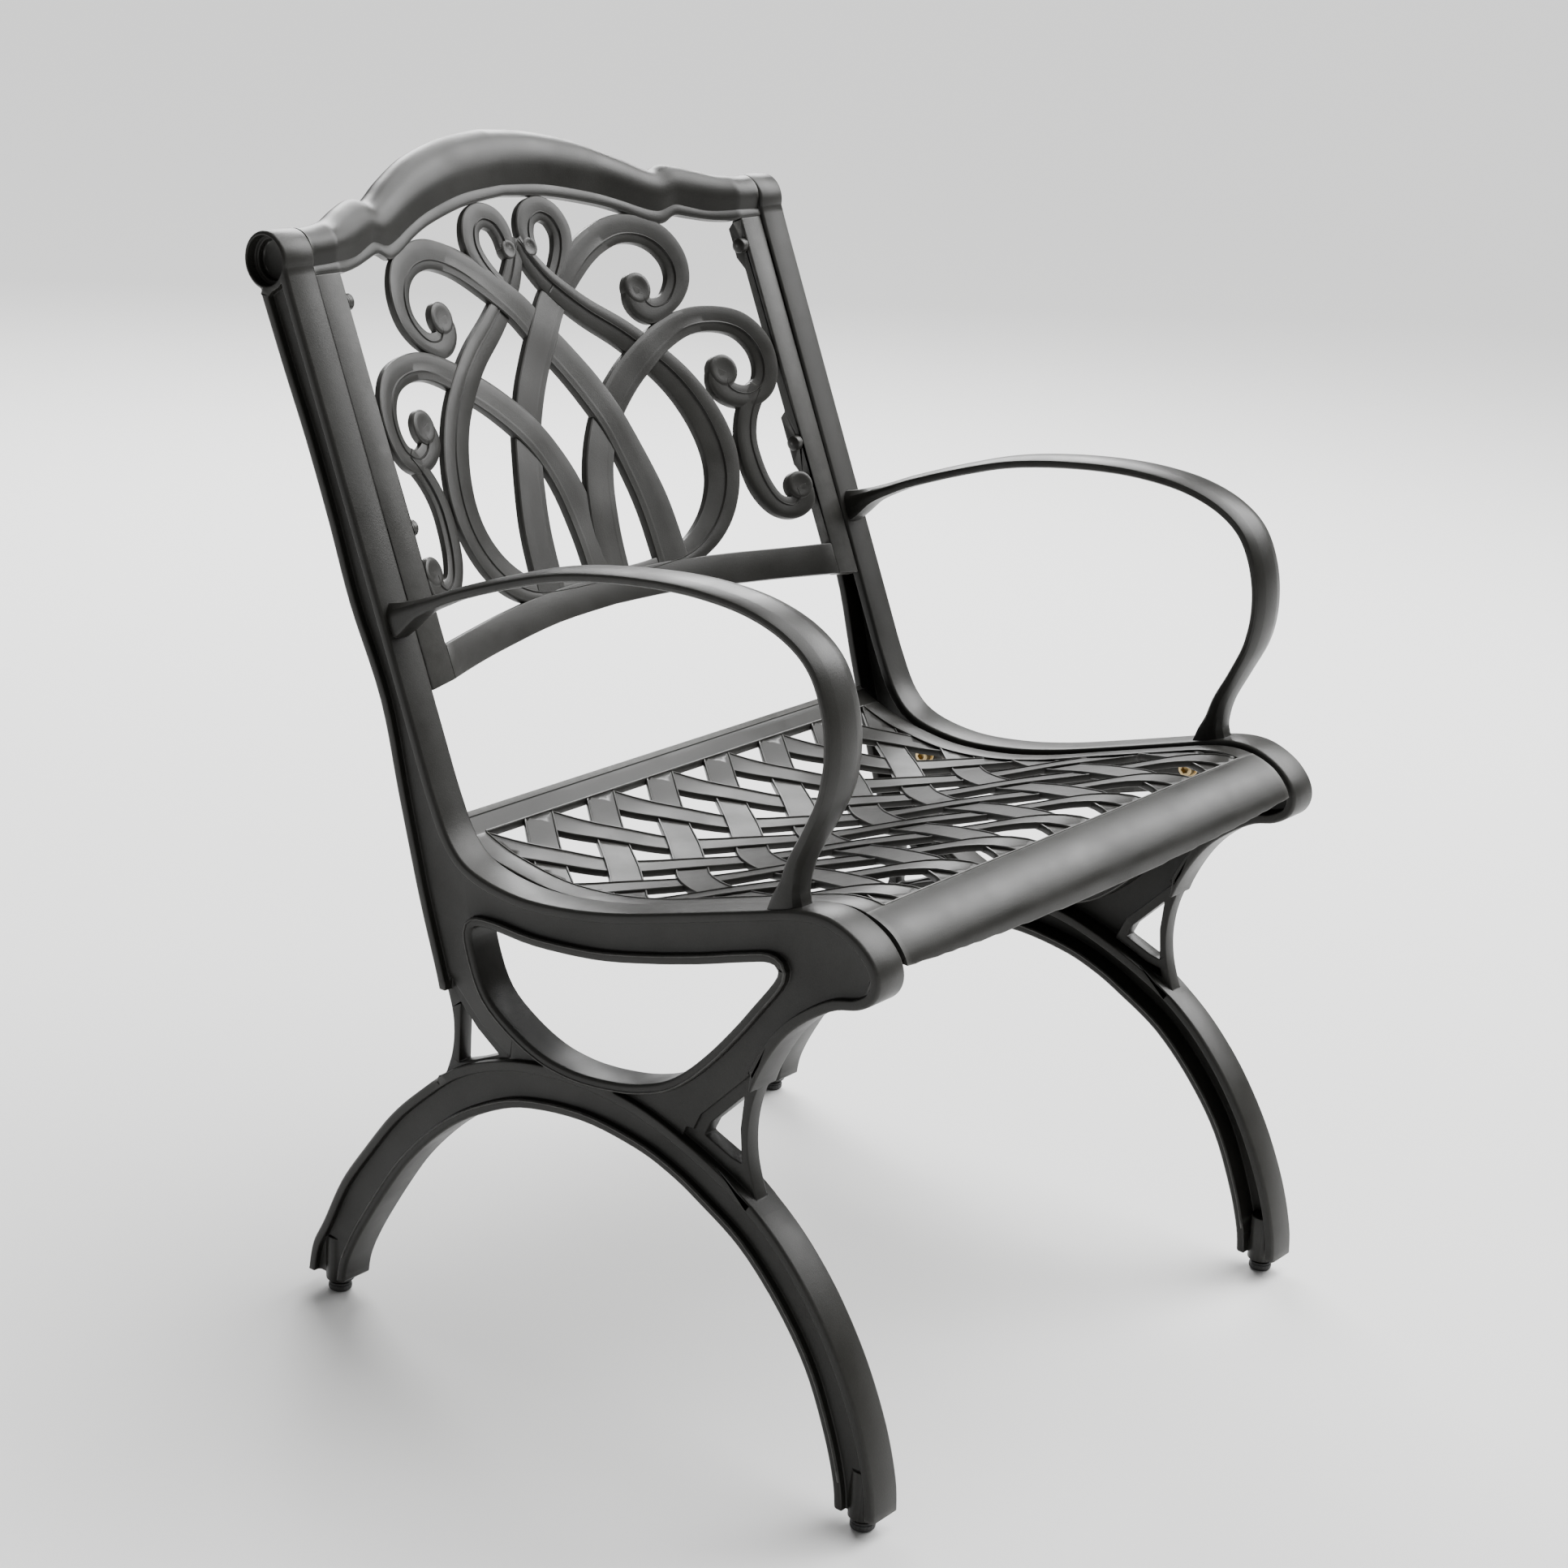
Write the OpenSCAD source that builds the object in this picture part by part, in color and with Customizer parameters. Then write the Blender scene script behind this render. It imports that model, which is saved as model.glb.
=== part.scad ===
// Garden armchair in cast aluminium: two side frames with bowed legs, a leaning scrollwork
// back that curves away from the sitter, a woven lattice seat and four screw-in glides.
// The chair faces -Y and stands on z = 0. Left and right are as seen from its front.

/* [Overall sizes] */
// Width over the outer faces of the side frames
chair_w = 619; // [520:1:760]
// Depth of a side frame, from its front foot to the back of its top eye
frame_d = 667; // [560:1:800]
// Height of a side frame, from the drawing datum to the centre of its top eye
frame_h = 847; // [700:1:1000]

/* [Side frames] */
// Thickness of a side frame casting
side_t = 32; // [26:1:38]
// Depth of the recess on the outer face
recess_d = 6; // [3:0.5:8]
// Thickness of the web behind it; the inner face is hollowed down to the web
web_t = 6; // [5:0.5:9]
// Thickness of the thin struts round the two small gaps
strut_t = 14; // [10:1:20]
// Width of the raised rim round the recesses
rim_w = 8; // [6:0.5:11]
// Outer radius of the eye at the top of each post
eye_r = 23; // [19:0.5:26]
// Wall of the eye
eye_wall = 3.5; // [2.5:0.5:6]
// Depth of the eye's cup
eye_depth = 9; // [4:0.5:14]
// Width of the step inside the eye's cup
eye_step = 3.5; // [2:0.5:6]

/* [Armrests] */
// Width of an armrest across the chair, at its widest
arm_w = 40; // [30:1:48]
// Width of an armrest where it meets its side frame
arm_root_w = 27; // [20:1:32]
// Thickness of an armrest along its run
arm_t = 10; // [7:0.5:14]

/* [Back] */
// How far the back curves away from the sitter at its middle
back_bow = 40; // [20:1:60]
// Thickness of the scrollwork, the lower rail and the crest lip
back_t = 8; // [6:0.5:12]
// Width of each stile
stile_w = 27; // [20:0.5:36]
// Depth of each stile, front to back
stile_t = 12; // [9:0.5:16]
// Width of a scroll ribbon, as a share of the drawn width
ribbon_k = 1; // [0.85:0.01:1.1]
// Depth of the rolled crest, front to back
crest_t = 38; // [28:1:46]
// How far the rolled crest stands in front of its lip
crest_proud = 5; // [2:0.5:9]
// Wall of the rolled crest, which is open underneath at the back
crest_wall = 5; // [4:0.5:8]

/* [Seat] */
// Gap between the seat and each side frame
seat_gap = 5.5; // [3:0.5:10]
// Thickness of the seat casting
seat_t = 6; // [4:0.5:9]
// Width of the border bar along each side of the seat
border_w = 22; // [15:1:30]
// Distance between neighbouring openings across the lattice
lattice_pitch = 75.5; // [65:0.5:84]
// Width of a lattice strap
strap_w = 27; // [20:0.5:32]
// Depth of the flange under each side of the seat
flange_h = 38; // [32:1:46]
// Thickness of the seat's flanges
flange_t = 6; // [4:0.5:9]
// Height that the front apron's lower edge dips in the middle
apron_dip = 9; // [0:1:24]

/* [Fasteners and feet] */
// Thread diameter of the screws and foot studs
screw_d = 8; // [6:1:8]
// Radial room for a screw in a plain hole
screw_clear = 0.25; // [0.1:0.05:0.5]
// Radial room for a screw or stud in its thread
thread_clear = 0.05; // [0.02:0.01:0.1]
// Radius of the cast bosses that take the screws
boss_r = 10; // [8:0.5:12]
// Radius of a glide's pad
pad_r = 10; // [8:0.5:12]
// Height of a glide's pad
pad_h = 8; // [6:0.5:14]
// Open height between a pad and the leg above it
pad_gap = 2; // [1.6:0.1:5]
// Length of a foot stud
stud_l = 34; // [24:1:44]

/* [Hidden] */
$fn = 64;

charcoal = "#3d3b39";
zinc_yellow = "#a8823c";
nylon = "#242322";
eps = 0.01;
far = 1200;
tidy = 0.4;

// The side view is drawn at these sizes and stretched to the chosen ones.
drawn_d = 667;
drawn_h = 847;
ky = frame_d / drawn_d;
kz = frame_h / drawn_h;
function side_pts(p) = [for (q = p) [q[0] * ky, q[1] * kz]];

// Catmull-Rom curve through points, with any number of values in each point.
function curve_at(a, b, c, d, t) =
  0.5 * (2 * b + (c - a) * t + (2 * a - 5 * b + 4 * c - d) * t * t
  + (3 * b - a - 3 * c + d) * t * t * t);
function curve(p, n = 5) = concat([
  for (i = [0 : len(p) - 2], k = [0 : n - 1])
    curve_at(p[max(i - 1, 0)], p[i], p[i + 1], p[min(i + 2, len(p) - 1)], k / n)
], [p[len(p) - 1]]);
function loop_curve(p, n = 5) = [
  for (i = [0 : len(p) - 1], k = [0 : n - 1])
    curve_at(p[(i + len(p) - 1) % len(p)], p[i], p[(i + 1) % len(p)], p[(i + 2) % len(p)], k / n)
];
function reversed(p) = [for (i = [len(p) - 1 : -1 : 0]) p[i]];
function tangent(p, i) =
  let (d = p[min(i + 1, len(p) - 1)] - p[max(i - 1, 0)])
  [d[0], d[1]] / norm([d[0], d[1]]);
function side_of(p, s) = [
  for (i = [0 : len(p) - 1])
    let (d = tangent(p, i))
    [p[i][0] - s * d[1] * p[i][2] / 2, p[i][1] + s * d[0] * p[i][2] / 2]
];
function ribbon_pts(p) = concat(side_of(p, 1), reversed(side_of(p, -1)));
// Takes slivers and hair cracks off a drawing.
module clean() offset(delta = tidy) offset(delta = -2 * tidy) offset(delta = tidy) children();
// A band that follows [x, y, width] points.
module ribbon(p, n = 5) polygon(ribbon_pts(curve(p, n)));

// ---- heights and places ----
half_w = chair_w / 2;
inner_x = half_w - side_t;
mid_x = half_w - side_t / 2;
leg_end = 9;
datum_z = pad_h + pad_gap - 3;
foot_y = [-534 * ky, 14 * ky];
foot_front_y = -554 * ky;

// The back leans on a line through these two points of the side view.
back_low = [-54.9 * ky, 547.4 * kz];
back_high = [62.8 * ky, 812.6 * kz];
lean = atan2(back_high[0] - back_low[0], back_high[1] - back_low[1]);
back_k = norm(back_high - back_low) / norm([117.7, 265.2]);
stile_in = inner_x - 0.5 - stile_w;
drawn_half = 250;
back_kx = stile_in / drawn_half;
shell_r = (stile_in * stile_in + back_bow * back_bow) / (2 * back_bow);
// Depth of the back's front surface behind the stiles' front, at distance x from the middle
function bow_at(x) =
  let (a = min(abs(x), stile_in))
  back_bow - shell_r + sqrt(shell_r * shell_r - a * a);
function back_pts(p) = [for (q = p) [q[0] * back_kx, q[1] * back_k]];
// A point of the back, in the side view: d behind the stile's front, s up the lean
function on_lean(d, s) = [
  back_low[0] + s * sin(lean) + d * cos(lean),
  back_low[1] + s * cos(lean) - d * sin(lean)
];

crest_half = inner_x;
crest_top_s = 430 * back_k;
crest_back = on_lean(bow_at(0) - crest_proud + crest_t, crest_top_s - crest_t / 2);
centre_y = -(foot_front_y + crest_back[0]) / 2;

module place() translate([0, centre_y, datum_z]) children();
// (y, z) drawing stretched along X from x0 to x1
module across(x0, x1) translate([x0, 0, 0]) rotate([90, 0, 90]) linear_extrude(x1 - x0) children();
module on_back() translate([0, back_low[0], back_low[1]]) rotate([-lean, 0, 0]) children();
// (x, s) drawing of the back stretched from depth d0 to depth d1
module back_slab(d0, d1) translate([0, d1, 0]) rotate([90, 0, 0]) linear_extrude(d1 - d0) children();
module both_sides() for (s = [-1, 1]) scale([s, 1]) children();
module side(s) if (s > 0) children(); else mirror([1, 0, 0]) children();

// ---- side frames ----
post_rear = [
  [101, 822], [76, 768], [50, 714], [24, 654], [0, 594], [-35, 524], [-57, 450],
  [-80, 375], [-100, 318], [-113, 280], [-113, 250], [-104, 222]
];
strut_and_nose = [
  [-424, 222], [-414, 250], [-411, 278], [-416, 308], [-431, 343], [-452, 372],
  [-484, 396], [-508, 404], [-522, 414], [-526, 428], [-520, 443], [-504, 457],
  [-479, 466], [-449, 464], [-404, 451], [-344, 433], [-284, 416], [-234, 406],
  [-184, 402], [-139, 409], [-114, 426], [-94, 461], [-71, 513], [-49, 564],
  [-3, 669], [28, 740], [60, 812], [75, 848]
];
upper_outline = side_pts(concat(
  curve(post_rear), [[-200, 250], [-260, 258], [-330, 250]], curve(strut_and_nose)));

leg_outside = [
  [37, leg_end], [32, 35], [20, 59], [0, 102], [-25, 139], [-55, 179], [-85, 209],
  [-120, 238], [-160, 258], [-205, 270], [-256, 274], [-310, 269], [-360, 254],
  [-410, 232], [-440, 213], [-466, 190], [-492, 160], [-518, 120], [-539, 75],
  [-551, 35], [-554, leg_end]
];
leg_inside = [
  [-5, leg_end], [-9, 30], [-24, 62], [-54, 112], [-79, 147], [-114, 183],
  [-149, 208], [-195, 229], [-256, 238], [-310, 233], [-345, 223], [-375, 209],
  [-415, 186], [-452, 151], [-482, 111], [-503, 65], [-514, 30], [-517, leg_end]
];
leg_outline = side_pts(concat(curve(leg_outside), reversed(curve(leg_inside))));
// The same band run on below the feet, so that its recess is open at the leg's end
leg_run_on = side_pts(concat(
  [[38, -40]], curve(leg_outside), [[-555, -40], [-518, -40]],
  reversed(curve(leg_inside)), [[-4, -40]]));

seat_hole = side_pts(loop_curve([
  [-138, 362], [-158, 367], [-202, 366], [-262, 372], [-312, 383], [-362, 397],
  [-402, 410], [-428, 417], [-435, 409], [-415, 380], [-397, 356], [-376, 331],
  [-355, 310], [-334, 295], [-308, 285], [-285, 280], [-260, 277], [-238, 277],
  [-213, 281], [-184, 293], [-157, 312], [-142, 340]
], 4));
rear_gap = side_pts([[-121, 294], [-121, 243], [-138, 250], [-163, 262], [-140, 277]]);
front_gap = side_pts([[-406, 304], [-376, 273], [-371, 262], [-397, 252], [-407, 250], [-404, 277]]);
eye_at = side_pts([[96, 847]])[0];

module upper_shape() difference() {
  polygon(upper_outline);
  polygon(seat_hole);
  polygon(rear_gap);
  polygon(front_gap);
}
module frame_shape() clean() union() {
  upper_shape();
  difference() {
    polygon(leg_outline);
    polygon(seat_hole);
    polygon(rear_gap);
    polygon(front_gap);
  }
  translate(eye_at) circle(eye_r);
}
// The struts beside the two gaps are thinner than the rest of the casting.
module gap_zone() clean() difference() {
  union() {
    offset(delta = rim_w + 1) {
      polygon(rear_gap);
      polygon(front_gap);
    }
    polygon(side_pts([
      [-121, 303], [-92, 303], [-92, 226], [-134, 236], [-176, 254], [-168, 268], [-140, 260]
    ]));
    polygon(side_pts([
      [-405, 313], [-440, 313], [-440, 214], [-404, 228], [-348, 246], [-356, 264], [-380, 264]
    ]));
  }
  polygon(leg_outline);
}
module frame_recess() clean() {
  difference() {
    offset(delta = -rim_w) upper_shape();
    polygon(leg_outline);
    translate(eye_at) circle(eye_r + 1);
  }
  offset(delta = -rim_w) polygon(leg_run_on);
}

screw_r = screw_d / 2;
tap_r = screw_r + thread_clear;
plain_r = screw_r + screw_clear;
tap_depth = 16;
back_screw_d = 7;
back_screw_s = [110 * back_k, 293 * back_k];
seat_screw_at = side_pts([[-159, 384], [-430, 438]]);
seat_out = inner_x - seat_gap;
foot_boss_top = 44;
foot_boss_end = leg_end - 6;
foot_boss_r = 12;

web_out = half_w - recess_d;
web_in = web_out - web_t;
module screw_bosses() intersection() {
  for (s = back_screw_s) on_side(on_lean(back_screw_d, s), inner_x, web_out, boss_r);
  across(inner_x - 1, half_w) frame_shape();
}
module frame_core() {
  difference() {
    across(inner_x, half_w) frame_shape();
    across(web_out, half_w + eps) frame_recess();
    across(inner_x - eps, web_in) frame_recess();
    across(mid_x + strut_t / 2, half_w + eps) gap_zone();
    across(inner_x - eps, mid_x - strut_t / 2) gap_zone();
  }
  screw_bosses();
  for (p = seat_screw_at) on_side(p, seat_out, web_out, boss_r);
  for (y = foot_y) translate([mid_x, y, foot_boss_end])
    cylinder(r = foot_boss_r, h = foot_boss_top - foot_boss_end);
}
// A cylinder along X through a point of the side view
module on_side(p, x0, x1, r) translate([x0, p[0], p[1]]) rotate([0, 90, 0])
  cylinder(r = r, h = x1 - x0);

module side_frame(s) color(charcoal) place() side(s) difference() {
  frame_core();
  on_side(eye_at, half_w - eye_depth, half_w + 1, eye_r - eye_wall);
  on_side(eye_at, half_w - 1.6 * eye_depth, half_w, eye_r - eye_wall - eye_step);
  for (q = back_screw_s) on_side(on_lean(back_screw_d, q), inner_x - 1, inner_x + tap_depth, tap_r);
  for (p = seat_screw_at) on_side(p, seat_out - 1, seat_out + tap_depth, tap_r);
  for (y = foot_y) translate([mid_x, y, foot_boss_end - 1])
    cylinder(r = tap_r, h = stud_l - pad_h / 2 + 6);
}

// ---- armrests ----
arm_line = [
  [-30, 583, 34], [-44, 590, 26], [-62, 601, 15], [-84, 612, 11], [-110, 624, 10],
  [-160, 643, 10], [-210, 659, 10], [-260, 669, 10], [-312, 675, 10], [-354, 676, 10],
  [-394, 672, 10], [-428, 661, 10], [-452, 643, 10], [-466, 615, 10], [-471, 583, 10],
  [-467, 552, 10], [-454, 522, 10], [-442, 497, 12], [-437, 478, 16], [-435, 466, 25],
  [-435, 456, 34]
];
// Half widths of an armrest from above, [y, share of the widest]
arm_plan = [
  [-20, 0.55], [-70, 0.6], [-130, 0.72], [-200, 0.84], [-280, 0.93], [-350, 0.98],
  [-420, 1], [-490, 1]
];
module armrest(s) color(charcoal) place() side(s) intersection() {
  across(mid_x - arm_w / 2, mid_x + arm_w / 2) difference() {
    ribbon([for (p = arm_line) [p[0] * ky, p[1] * kz, p[2] * arm_t / 10]]);
    polygon(upper_outline);
  }
  translate([mid_x, 0, 0]) linear_extrude(far) polygon(concat(
    [for (q = arm_plan) [q[1] * arm_w / 2, q[0] * ky]],
    reversed([for (q = arm_plan) [-q[1] * arm_w / 2, q[0] * ky]])));
  translate([mid_x, 0, 0]) rotate([90, 0, 0]) linear_extrude(far) polygon([
    [-arm_root_w / 2, 440 * kz], [arm_root_w / 2, 440 * kz], [arm_root_w / 2, 480 * kz],
    [arm_w / 2, 560 * kz], [arm_w / 2, 700 * kz], [-arm_w / 2, 700 * kz],
    [-arm_w / 2, 560 * kz], [-arm_root_w / 2, 480 * kz]
  ]);
}

// ---- back ----
lip_low = [
  [0, 369], [50, 364], [100, 352], [130, 341], [150, 331], [163, 326], [172, 325],
  [185, 330], [200, 326], [220, 320], [240, 316], [249.9, 316], [278, 316]
];
lip_top = [
  [0, 379], [50, 375], [100, 363], [130, 352], [150, 343], [163, 338], [172, 337],
  [187, 340], [200, 336], [220, 329], [250, 325], [278, 324]
];
crest_top = [
  [0, 430], [50, 425], [100, 412], [140, 394], [165, 380], [178, 375], [192, 378],
  [215, 371], [240, 361], [262, 357], [278, 357]
];
function at_x(p, x, i = 0) = i >= len(p) - 2 || x <= p[i + 1][0]
  ? p[i][1] + (p[i + 1][1] - p[i][1]) * (x - p[i][0]) / (p[i + 1][0] - p[i][0])
  : at_x(p, x, i + 1);
lip_low_c = back_pts(curve(lip_low, 4));
lip_top_c = back_pts(curve(lip_top, 4));
crest_top_c = back_pts(curve(crest_top, 4));
crest_half_x = [for (q = lip_low_c) if (q[0] < crest_half - 1) q[0]];
crest_x = concat([-crest_half], [for (x = reversed(crest_half_x)) if (x > 0) -x],
  crest_half_x, [crest_half]);
roll_n = 10;
roll_from = 207;
roll_to = -60;
function roll_arc(x, m, c, rd, rs) = [
  for (k = [0 : roll_n]) let (w = roll_from + k * (roll_to - roll_from) / roll_n)
    [x, m + rd * cos(w), c + rs * sin(w)]
];
// Cross-section of the crest at x: the flat lip below, the open roll above it
function crest_ring(x) =
  let (a = abs(x), d = bow_at(x), low = at_x(lip_low_c, a), lip = at_x(lip_top_c, a),
    top = at_x(crest_top_c, a), rs = (top - lip) / 2 + 2, c = top - rs, rd = crest_t / 2,
    m = d - crest_proud + rd, w = crest_wall)
  concat(
    [[x, d, low], [x, d, lip - 0.5]],
    roll_arc(x, m, c, rd, rs),
    reversed(roll_arc(x, m, c, rd - w, rs - w)),
    [[x, d + back_t, lip - 0.5], [x, d + back_t, low]]);
module crest_rail() color(charcoal) place() on_back() {
  n = len(crest_ring(0));
  m = len(crest_x);
  polyhedron(
    points = [for (x = crest_x) each crest_ring(x)],
    faces = concat(
      [[for (k = [n - 1 : -1 : 0]) k]],
      [[for (k = [0 : n - 1]) (m - 1) * n + k]],
      [for (i = [0 : m - 2], k = [0 : n - 1]) each [
        [i * n + k, i * n + (k + 1) % n, (i + 1) * n + (k + 1) % n],
        [i * n + k, (i + 1) * n + (k + 1) % n, (i + 1) * n + k]]]),
    convexity = 8);
}

rail_top = [[0, 38], [70, 36.5], [140, 30], [200, 22], [250, 15]];
rail_low = [[0, 12], [80, 9], [160, 0], [205, -6], [250, -13]];
stile_foot = 17;
function mirror_x(p) = [for (i = [len(p) - 1 : -1 : 1]) [-p[i][0], p[i][1]]];
function full_width(p) = concat(mirror_x(p), p);
rail_pts = concat(full_width(back_pts(curve(rail_top, 4))),
  reversed(full_width(back_pts(curve(rail_low, 4)))));

module back_shell(h) difference() {
  translate([0, back_bow - shell_r, -60]) cylinder(r = shell_r + back_t, h = h, $fn = 360);
  translate([0, back_bow - shell_r, -61]) cylinder(r = shell_r, h = h + 2, $fn = 360);
}
module lower_back_rail() color(charcoal) place() on_back() intersection() {
  back_slab(-5, back_bow + back_t + 5) polygon(rail_pts);
  back_shell(560 * back_k);
}

module stile_ear(s0, s1) hull() {
  translate([0, stile_t - 1, s0]) cube([stile_w, 1, s1 - s0]);
  translate([0, stile_t, s0 + 12]) cube([stile_w, 6, s1 - s0 - 16]);
}
module back_stile(s) color(charcoal) place() on_back() side(s) difference() {
  union() {
    translate([stile_in, 0, 0]) {
      back_slab(0, stile_t) polygon([
        [0, -13 * back_k], [stile_w, -stile_foot * back_k],
        [stile_w, 316 * back_k], [0, 316 * back_k]
      ]);
      stile_ear(80 * back_k, 140 * back_k);
      stile_ear(272 * back_k, 315 * back_k);
    }
  }
  for (q = back_screw_s) translate([stile_in - 1, back_screw_d, q]) rotate([0, 90, 0])
    cylinder(r = plain_r, h = stile_w + 2);
}

// Right half of the scrollwork, as [x, s, width] lines in the order of the drawing
hook = [
  [14, 324, 17], [14, 338, 21], [21, 350, 22], [36, 355, 22], [50, 348, 22], [56, 333, 22],
  [52, 318, 20], [42, 304, 17], [30, 292, 14], [20, 283, 10]
];
upper_scroll = [
  [124, 273, 26], [121, 262, 27], [131, 252, 24], [148, 254, 19], [162, 263, 21],
  [171, 277, 24], [171, 295, 26], [161, 312, 27], [143, 323, 26], [120, 327, 26],
  [96, 322, 26], [72, 311, 27], [45, 292, 28], [20, 271, 30], [0, 248, 31]
];
cross_leg = [
  [0, 248, 31], [20, 222, 31], [38, 195, 32], [55, 160, 32], [68, 120, 34], [76, 82, 36],
  [79, 34, 37]
];
ring = [
  [0, 331, 14], [12, 308, 20], [28, 287, 23], [58, 262, 25], [92, 238, 27], [118, 215, 29],
  [142, 185, 32], [158, 152, 35], [164, 120, 36], [159, 92, 34], [145, 68, 32],
  [124, 50, 28], [98, 39, 22], [60, 35, 14], [0, 34, 14]
];
middle_scroll = [
  [190, 187, 28], [185, 176, 26], [194, 165, 22], [211, 160, 21], [228, 167, 22],
  [236, 184, 23], [234, 205, 24], [220, 224, 24], [196, 234, 23], [166, 236, 24],
  [134, 227, 26], [106, 213, 28], [80, 196, 29], [55, 174, 30], [34, 148, 31],
  [19, 116, 33], [11, 80, 34], [8, 34, 34]
];
lower_scroll = [
  [236, 72, 24], [236, 60, 24], [224, 54, 20], [209, 61, 20], [199, 78, 22], [195, 100, 22],
  [196, 124, 21], [205, 146, 20], [222, 166, 18]
];
bulbs = [[13, 323, 9], [123, 273, 14.5], [190, 187, 15], [236, 72, 13]];
scroll_stretch = (back_kx + back_k) / 2;
function stretched(p) = [for (q = p) [q[0] * back_kx, q[1] * back_k, q[2] * ribbon_k * scroll_stretch]];

module scroll_half() {
  for (line = [hook, upper_scroll, cross_leg, ring, middle_scroll, lower_scroll])
    ribbon(stretched(line), 4);
  for (b = bulbs) translate([b[0] * back_kx, b[1] * back_k]) circle(b[2] * scroll_stretch, $fn = 24);
}
lip_edge = concat(full_width(lip_low_c),
  [[stile_in + 40, 440 * back_k], [-stile_in - 40, 440 * back_k]]);
module scroll_shape() clean() difference() {
  intersection() {
    both_sides() scroll_half();
    translate([-stile_in, 0]) square([2 * stile_in, 450 * back_k]);
  }
  polygon(rail_pts);
  polygon(lip_edge);
}
module back_scrollwork() color(charcoal) place() on_back() intersection() {
  back_slab(-5, back_bow + back_t + 5) scroll_shape();
  back_shell(560 * back_k);
}

washer_t = 1.6;
back_head_h = 5;
back_head_r = 6;
back_cap_r = 6.8;
cap_wall_h = 4;
cap_dome = 0.4;
module along_x(r0, r1, x0, x1) translate([x0, 0, 0]) rotate([0, 90, 0]) difference() {
  cylinder(r = r1, h = x1 - x0);
  if (r0 > 0) translate([0, 0, -1]) cylinder(r = r0, h = x1 - x0 + 2);
}
module at_back_screws() color(charcoal) place() on_back() for (m = [-1, 1], s = back_screw_s)
  side(m) translate([0, back_screw_d, s]) children();
module back_screws() at_back_screws() {
  along_x(0, screw_r, stile_in - washer_t, inner_x + tap_depth - 2);
  along_x(0, back_head_r, stile_in - washer_t - back_head_h, stile_in - washer_t);
}
module back_screw_washers() at_back_screws()
  along_x(plain_r, back_cap_r, stile_in - washer_t, stile_in);
// Domed cap pressed over each screw head
module back_screw_caps() at_back_screws()
  translate([stile_in - washer_t, 0, 0]) rotate([0, -90, 0]) rotate_extrude() difference() {
    union() {
      square([back_cap_r, cap_wall_h]);
      intersection() {
        translate([0, cap_wall_h]) scale([1, cap_dome]) circle(back_cap_r);
        square([back_cap_r, 2 * back_cap_r]);
      }
    }
    translate([-1, -1]) square([back_head_r + 1, back_head_h + 1]);
    translate([-back_cap_r * 2, -1]) square([back_cap_r * 2, 4 * back_cap_r]);
  }

// ---- seat ----
seat_line = [
  [-75, 429], [-90, 421], [-115, 411], [-139, 405], [-184, 399], [-234, 402], [-284, 412],
  [-344, 430], [-404, 448], [-449, 461], [-479, 463], [-504, 455], [-519, 441], [-524, 427],
  [-521, 408]
];
seat_top = side_pts(curve(seat_line, 4));
seat_dirs = [for (i = [0 : len(seat_top) - 1]) tangent(seat_top, i)];
// The seat's profile moved d below its top surface
function under_seat(d) = [
  for (i = [0 : len(seat_top) - 1])
    [seat_top[i][0] - d * seat_dirs[i][1], seat_top[i][1] + d * seat_dirs[i][0]]
];
function band(d0, d1) = concat(under_seat(d0), reversed(under_seat(d1)));
function lowered(p, h) = [for (q = p) [q[0], q[1] - h]];
rear_edge_y = seat_top[0][0];
rear_bar_y = -97 * ky;
apron_y = -484 * ky;
lattice_half = seat_out - border_w;

// Rows of openings from back to front; every strap crosses half a pitch from row to row
row_y = [for (y = [-52, -97, -142, -187, -226, -263, -320, -388, -461, -534]) y * ky];
module strap(k) ribbon([
  for (i = [0 : len(row_y) - 1]) [(k + i / 2) * lattice_pitch, row_y[i], strap_w]
], 3);
module lattice_shape() offset(delta = eps) offset(delta = -eps) intersection() {
  both_sides() for (k = [-9 : 4]) strap(k);
  translate([-lattice_half, apron_y]) square([2 * lattice_half, rear_bar_y - apron_y]);
}
module seat_lattice() color(charcoal) place() intersection() {
  translate([0, 0, 300 * kz]) linear_extrude(250 * kz) lattice_shape();
  across(-lattice_half, lattice_half) polygon(band(0, seat_t));
}
module side_band(y0, y1) intersection() {
  children();
  translate([y0, 0]) square([y1 - y0, far]);
}
module seat_side_bar(s) color(charcoal) place() side(s) difference() {
  union() {
    across(lattice_half, seat_out) side_band(apron_y, rear_bar_y) polygon(band(0, seat_t));
    across(seat_out - flange_t, seat_out) side_band(apron_y, rear_bar_y)
      polygon(concat(under_seat(seat_t - 0.5), reversed(lowered(seat_top, flange_h))));
  }
  for (p = seat_screw_at) on_side(p, lattice_half, seat_out + 1, plain_r);
}
rear_lip_h = 20;
module seat_rear_bar() color(charcoal) place() {
  across(-seat_out, seat_out) side_band(rear_bar_y, rear_edge_y + 5) polygon(band(0, seat_t));
  across(-seat_out, seat_out) translate([rear_edge_y - flange_t, seat_top[0][1] - rear_lip_h])
    square([flange_t, rear_lip_h - seat_t / 2]);
}
apron_low_z = 433 * kz;
// Front view of the apron, with its lower edge dipping towards the middle
module apron_front() {
  n = 24;
  polygon(concat(
    [for (i = [0 : n]) let (x = -seat_out + 2 * seat_out * i / n)
      [x, apron_low_z - apron_dip * (1 - pow(x / seat_out, 2))]],
    [[seat_out, far], [-seat_out, far]]));
}
module front_apron() color(charcoal) place() intersection() {
  across(-seat_out, seat_out) side_band(-far, apron_y) polygon(band(0, seat_t));
  translate([0, far / 2, 0]) rotate([90, 0, 0]) linear_extrude(2 * far) apron_front();
}

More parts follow.
